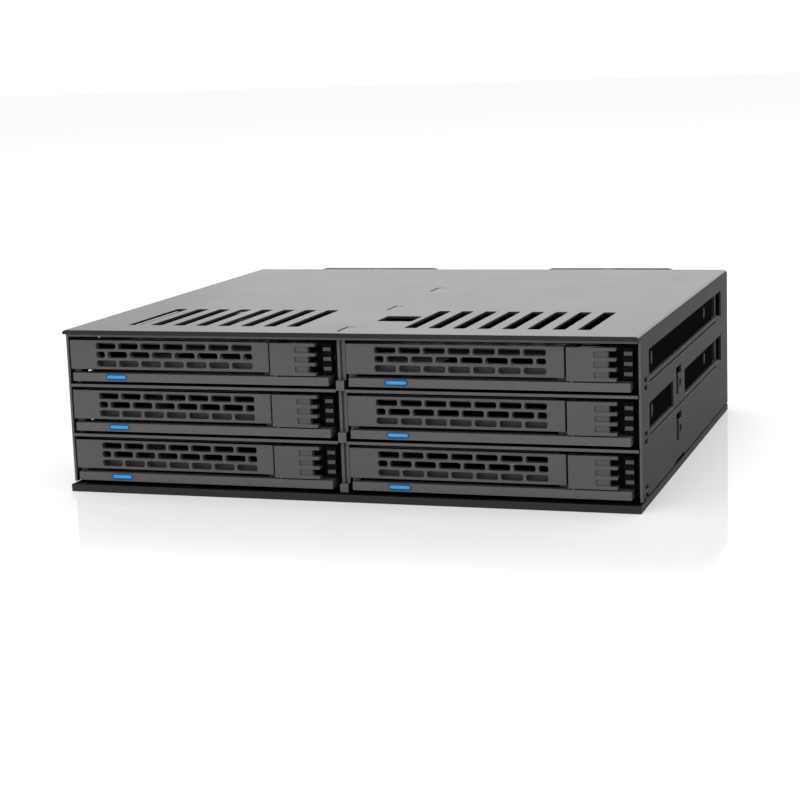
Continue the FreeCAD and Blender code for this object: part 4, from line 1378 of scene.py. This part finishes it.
@dataclass
class Fan:
    """Axial fan behind the back panel: frame, rotor with curved blades, and a plain label."""

    side: Column
    middle_z: float = 20.65

    # Rotor
    hub_radius: float = 9.0
    tip_radius: float = 18.1
    blade_count: int = 7
    blade_steps: tuple[int, int] = (8, 10)
    blade_turn: float = 34.0
    blade_untwist: float = 0.12
    blade_sweep: float = 15.0
    blade_bend: float = 1.5
    blade_camber: float = 1.35
    blade_depth: float = 5.4
    blade_taper: float = 0.15
    blade_front: float = 0.9
    blade_sunk: float = 0.3
    blade_thick: float = 0.6
    blade_edge: float = 0.15

    # Frame and label
    label_radius: float = 8.2
    flange: float = 2.4
    flange_gap: float = 0.1
    corner: float = 2.6
    bore: float = 19.0
    duct: float = 19.9
    post: float = 16.0
    hole_radius: float = 1.75
    boss: float = 3.2
    motor: float = 9.5
    motor_depth: float = 1.2
    bearing: float = 1.1
    strut: float = 2.0
    strut_inset: float = 0.4
    strut_past: float = 0.3
    strut_depths: Spot = (1.4, 0.1)
    strut_slant: float = 14.0
    lead_strut: float = 1.6
    mould_edge: float = 0.2

    def called(self, part: str) -> str:
        """Name of one of the fan's parts."""
        return f"fan_{part}_{self.side.value}"

    @property
    def centre_x(self) -> float:
        """Middle of the fan along X, in millimetres."""
        low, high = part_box(self.called("frame"))
        return (low.x + high.x) / 2 / MM

    def build(self) -> None:
        """Build the frame, the rotor and the label."""
        self.build_frame()
        self.build_hub()
        self.build_blades()
        self.build_label()

    def build_frame(self) -> None:
        """Build the frame: two flanges, the duct between them, four posts, struts and motor plate."""
        low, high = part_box(self.called("frame"))
        half, deep = (high.x - low.x) / 2, high.y - low.y
        thick = self.flange * MM
        solid = bmesh.new()
        for foot in (0.0, deep - thick):
            add_box(solid, (-half, foot, -half), (half, foot + thick, half))
        upright = [edge for edge in solid.edges if abs(edge.verts[0].co.y - edge.verts[1].co.y) > thick / 2]
        bmesh.ops.bevel(solid, geom=upright, offset=self.corner * MM, segments=6,
                        affect="EDGES", profile=0.5)
        hole = bmesh.new()
        length = deep / MM
        through, inside = (-1.0, length + 1.0), (self.flange_gap, length - self.flange_gap)
        self.add_rod(hole, (0.0, 0.0), self.bore, through, steps=72)
        posts = [(x, z) for x in (-self.post, self.post) for z in (-self.post, self.post)]
        for spot in posts:
            self.add_rod(hole, spot, self.hole_radius, through, steps=20)
        shape = bmesh.new()
        flanges = combine(solid, hole, "DIFFERENCE")
        add_copy(shape, flanges, Matrix.Identity(4))
        self.add_ring(shape, (0.0, 0.0), self.bore, self.duct, inside, steps=72)
        for spot in posts:
            self.add_ring(shape, spot, self.hole_radius, self.boss, inside, steps=24)
        plate = (length - self.motor_depth, length)
        self.add_ring(shape, (0.0, 0.0), self.bearing, self.motor, plate, steps=56)
        self.add_struts(shape, length)
        centre = Matrix.Translation((self.centre_x * MM, low.y, self.middle_z * MM))
        bmesh.ops.transform(shape, matrix=centre, verts=shape.verts)
        name = self.called("frame")
        piece = shape_piece(f"{name}_moulded", shape, FAN_PLASTIC)
        soften(piece, self.mould_edge)
        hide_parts(name)

    def add_rod(self, shape: Shape, spot: Spot, radius: float, span: Spot, steps: int) -> None:
        """Add a round rod along Y.

        Args:
            shape: The shape that the rod joins.
            spot: Its place along X and Z in millimetres.
            radius: Its radius in millimetres.
            span: Its ends along Y in millimetres.
            steps: Number of faces round it.
        """
        profile = [(0.0, span[0]), (radius, span[0]), (radius, span[1]), (0.0, span[1])]
        add_turned(shape, profile, Vector((spot[0], 0.0, spot[1])) * MM, LAID_BACK, steps)

    def add_ring(self, shape: Shape, spot: Spot, inner: float, outer: float, span: Spot,
                 steps: int) -> None:
        """Add a tube along Y.

        Args:
            shape: The shape that the tube joins.
            spot: Its place along X and Z in millimetres.
            inner: Its inner radius in millimetres.
            outer: Its outer radius in millimetres.
            span: Its ends along Y in millimetres.
            steps: Number of faces round it.
        """
        front, back = span
        profile = [(inner, front), (outer, front), (outer, back), (inner, back), (inner, front)]
        add_turned(shape, profile, Vector((spot[0], 0.0, spot[1])) * MM, LAID_BACK, steps)

    def add_struts(self, shape: Shape, length: float) -> None:
        """Add the four slanted struts that carry the motor plate, one of them wide for the leads.

        Args:
            shape: The frame's shape.
            length: The frame's length along Y in millimetres.
        """
        across = (self.motor - self.strut_inset, self.bore + self.strut_past)
        depth = tuple(length - inset for inset in self.strut_depths)
        for number, factor in enumerate((1.0, 1.0, 1.0, self.lead_strut)):
            wide = self.strut * factor
            block = add_block(shape, across, depth, (-wide / 2, wide / 2))
            turn = Matrix.Rotation(math.radians(45.0 + 90.0 * number), 4, "Y")
            slant = Matrix.Rotation(math.radians(self.strut_slant), 4, "Y")
            hinge = Matrix.Translation((self.motor * MM, 0.0, 0.0))
            bmesh.ops.transform(shape, matrix=turn @ hinge @ slant @ hinge.inverted(), verts=block)

    def build_hub(self) -> None:
        """Turn the cup of the rotor, with its rounded brim and its shaft."""
        low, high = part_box(self.called("rotor"))
        reach = (high.y - low.y) / MM
        radius = self.hub_radius
        profile = [(0.0, 0.35), (radius * 0.55, 0.3), (radius * 0.6, 0.0), (radius * 0.86, 0.0),
                   (radius * 0.96, 0.25), (radius, 0.9), (radius, 7.0), (radius * 0.92, 7.0),
                   (radius * 0.9, 5.6), (1.6, 5.6), (1.0, 5.9), (1.0, reach - 0.1), (0.0, reach)]
        shape = bmesh.new()
        centre = Vector((self.centre_x * MM, low.y, self.middle_z * MM))
        add_turned(shape, profile, centre, LAID_BACK, steps=48)
        piece = shape_piece(self.called("hub"), shape, FAN_PLASTIC, f"fan_{self.side.value}")
        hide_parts(self.called("rotor"))

    def build_blades(self) -> None:
        """Loft the blades, cambered along their chord and swept towards their tips."""
        low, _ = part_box(self.called("rotor"))
        shape = bmesh.new()
        along, across = self.blade_steps
        for blade in range(self.blade_count):
            grid = []
            for station in range(along + 1):
                out = station / along
                root = self.hub_radius - self.blade_sunk
                radius = root + out * (self.tip_radius - self.hub_radius + self.blade_sunk)
                grid.append([self.blade_spot(blade, radius, out, step / across, low.y)
                             for step in range(across + 1)])
            corners = [[shape.verts.new(spot) for spot in line] for line in grid]
            for inner, outer in zip(corners, corners[1:]):
                for step in range(across):
                    shape.faces.new((inner[step], inner[step + 1], outer[step + 1], outer[step]))
        name = self.called("blades")
        mesh = mesh_of(name, shape)
        piece = finish_piece(name, mesh, [FAN_PLASTIC], f"fan_{self.side.value}")
        body = piece.modifiers.new("blade_body", "SOLIDIFY")
        body.thickness = self.blade_thick * MM
        body.offset = 0.0
        soften(piece, self.blade_edge)

    def blade_spot(self, blade: int, radius: float, out: float, chord: float, front: float) -> Vector:
        """Find a point of a blade.

        Args:
            blade: Number of the blade.
            radius: Distance from the axis in millimetres.
            out: How far out the point is, from 0 at the hub to 1 at the tip.
            chord: How far along the chord it is, from 0 to 1.
            front: The rotor's front along Y, in metres.

        Returns:
            The point in the frame, in metres.
        """
        turn = self.blade_turn * (1.0 - self.blade_untwist * out)
        sweep = self.blade_sweep * out ** self.blade_bend
        angle = math.radians(blade * 360.0 / self.blade_count + sweep + turn * (chord - 0.5))
        curve = chord ** self.blade_camber
        deep = self.blade_front + self.blade_depth * (1.0 - self.blade_taper * out) * curve
        return Vector((self.centre_x + math.sin(angle) * radius, front / MM + deep,
                       self.middle_z + math.cos(angle) * radius)) * MM

    def build_label(self) -> None:
        """Build the plain foil label over the motor plate's bearing."""
        _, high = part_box(self.called("frame"))
        shape = bmesh.new()
        radius = self.label_radius
        profile = [(0.0, 0.0), (radius, 0.0), (radius, 0.05), (radius - 0.1, 0.08), (radius - 0.7, 0.08),
                   (radius - 0.75, 0.06), (radius - 0.9, 0.06), (radius - 0.95, 0.08), (0.0, 0.08)]
        centre = Vector((self.centre_x * MM, high.y, self.middle_z * MM))
        add_turned(shape, profile, centre, LAID_BACK, steps=48)
        shape_piece(self.called("label"), shape, LABEL_FILM)


@dataclass
class SpeedSwitch:
    """Fan speed switch in the back panel."""

    body_edge: float = 0.15
    knob_edge: float = 0.2
    ridge_edge: float = 0.06
    ridge_count: int = 3
    ridge: float = 0.22
    ridge_sunk: float = 0.05
    ridge_proud: float = 0.14
    ridge_inset: float = 0.15

    def build(self) -> None:
        """Build the switch, its knob and the knob's ridges."""
        Skin(("speed_switch_body",), PORT_PLASTIC, Slot.PORT, self.body_edge).build()
        Skin(("speed_switch_knob",), KNOB_PLASTIC, Slot.KNOB, self.knob_edge, segments=3).build()
        low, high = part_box("speed_switch_knob")
        shape = bmesh.new()
        step = (high.x - low.x) / (self.ridge_count + 1)
        for number in range(self.ridge_count):
            x = low.x + step * (number + 1)
            half = self.ridge / 2 * MM
            add_box(shape, (x - half, high.y - self.ridge_sunk * MM, low.z + self.ridge_inset * MM),
                    (x + half, high.y + self.ridge_proud * MM, high.z - self.ridge_inset * MM))
        piece = shape_piece("speed_knob_ridges", shape, KNOB_PLASTIC, Body.KNOB.value)
        soften(piece, self.ridge_edge)


# Studio


@dataclass
class StudioCamera:
    """Camera at the photograph's place: lens, eye in millimetres and its three turns in degrees."""

    lens: float = 86.6
    eye: Triple = (157.0, -497.6, 106.2)
    yaw: float = 18.38
    pitch: float = 10.19
    roll: float = -2.03
    clip: Spot = (0.02, 20.0)

    def build(self) -> None:
        """Stand the camera and make it the scene's own."""
        data = bpy.data.cameras.new("studio_camera")
        data.lens = self.lens
        data.clip_start, data.clip_end = self.clip
        camera = add_object("studio_camera", data)
        yaw, pitch, roll = (math.radians(turn) for turn in (self.yaw, self.pitch, self.roll))
        forward = Vector((-math.sin(yaw) * math.cos(pitch), math.cos(yaw) * math.cos(pitch),
                          -math.sin(pitch)))
        right = Vector((math.cos(yaw), math.sin(yaw), 0.0))
        above = right.cross(forward)
        leaning_right = right * math.cos(roll) + above * math.sin(roll)
        leaning_up = above * math.cos(roll) - right * math.sin(roll)
        turn = Matrix((leaning_right, leaning_up, -forward)).transposed()
        camera.matrix_world = Matrix.Translation(Vector(self.eye) * MM) @ turn.to_4x4()
        bpy.context.scene.camera = camera


@dataclass
class SoftBox:
    """A soft rectangular lamp that faces a point."""

    name: str
    place: Triple
    size: Spot
    power: float
    target: Triple = (0.0, 0.0, 0.02)

    def build(self) -> None:
        """Hang the lamp and turn it to its target."""
        data = bpy.data.lights.new(self.name, "AREA")
        data.shape = "RECTANGLE"
        data.size, data.size_y = self.size
        data.energy = self.power
        lamp = add_object(self.name, data)
        lamp.location = self.place
        lamp.rotation_euler = (Vector(self.target) - Vector(self.place)).to_track_quat("-Z", "Y").to_euler()


@dataclass
class Studio:
    """Plain white studio: floor, even surroundings and soft lamps."""

    floor_reach: float = 6.0
    floor_steps: int = 8
    floor_colour: Colour = (0.66, 0.66, 0.66)
    mirror_reach: float = 0.11
    mirrors: tuple[Spot, ...] = (
        (0.0, 0.14), (0.2, 0.26), (0.38, 0.26), (0.56, 0.12), (0.8, 0.02), (1.0, 0.0))
    glow: float = 0.3
    surround: float = 1.0
    lamps: list[SoftBox] = field(default_factory=lambda: [
        SoftBox("softbox_above", (-0.1, 0.1, 1.3), (1.6, 1.4), 9.0),
        SoftBox("softbox_front", (-0.5, -1.4, 0.9), (0.9, 0.7), 4.0),
        SoftBox("softbox_back", (0.1, 1.3, 0.4), (1.6, 0.5), 1.2),
    ])

    def build(self) -> None:
        """Build the floor, the surroundings, the lamps and the camera."""
        self.build_floor()
        self.build_surroundings()
        for lamp in self.lamps:
            lamp.build()
        StudioCamera().build()
        bpy.context.scene.view_settings.view_transform = "Standard"

    def build_floor(self) -> None:
        """Lay the floor under the object."""
        shape = bmesh.new()
        bmesh.ops.create_grid(shape, x_segments=self.floor_steps, y_segments=self.floor_steps,
                              size=self.floor_reach)
        mesh = mesh_of("studio_floor", shape)
        low, high = CAD_BOX
        half = ((high.x - low.x) / 2, (high.y - low.y) / 2, 1.0)
        finish = StudioFloor("studio_floor", self.floor_colour, half, self.mirror_reach,
                             self.mirrors, self.glow)
        mesh.materials.append(finish.material())
        add_object("studio_floor", mesh)

    def build_surroundings(self) -> None:
        """Light the scene evenly from all round, as in a white tent."""
        world = bpy.data.worlds.new("white_tent")
        world.use_nodes = True
        tent = world.node_tree.nodes["Background"]
        tent.inputs["Color"].default_value = (*WHITE, 1.0)
        tent.inputs["Strength"].default_value = self.surround
        bpy.context.scene.world = world


def main() -> None:
    """Build the cage, piece by piece, and its studio."""
    logging.basicConfig(level=logging.INFO, format="%(message)s")
    Case().build()
    for column in Column:
        for row in Row:
            Bay(row, column).build()
    Backplane().build()
    for side in Column:
        Fan(side).build()
    Fasteners().build()
    SpeedSwitch().build()
    Studio().build()


if __name__ == "__main__":
    main()
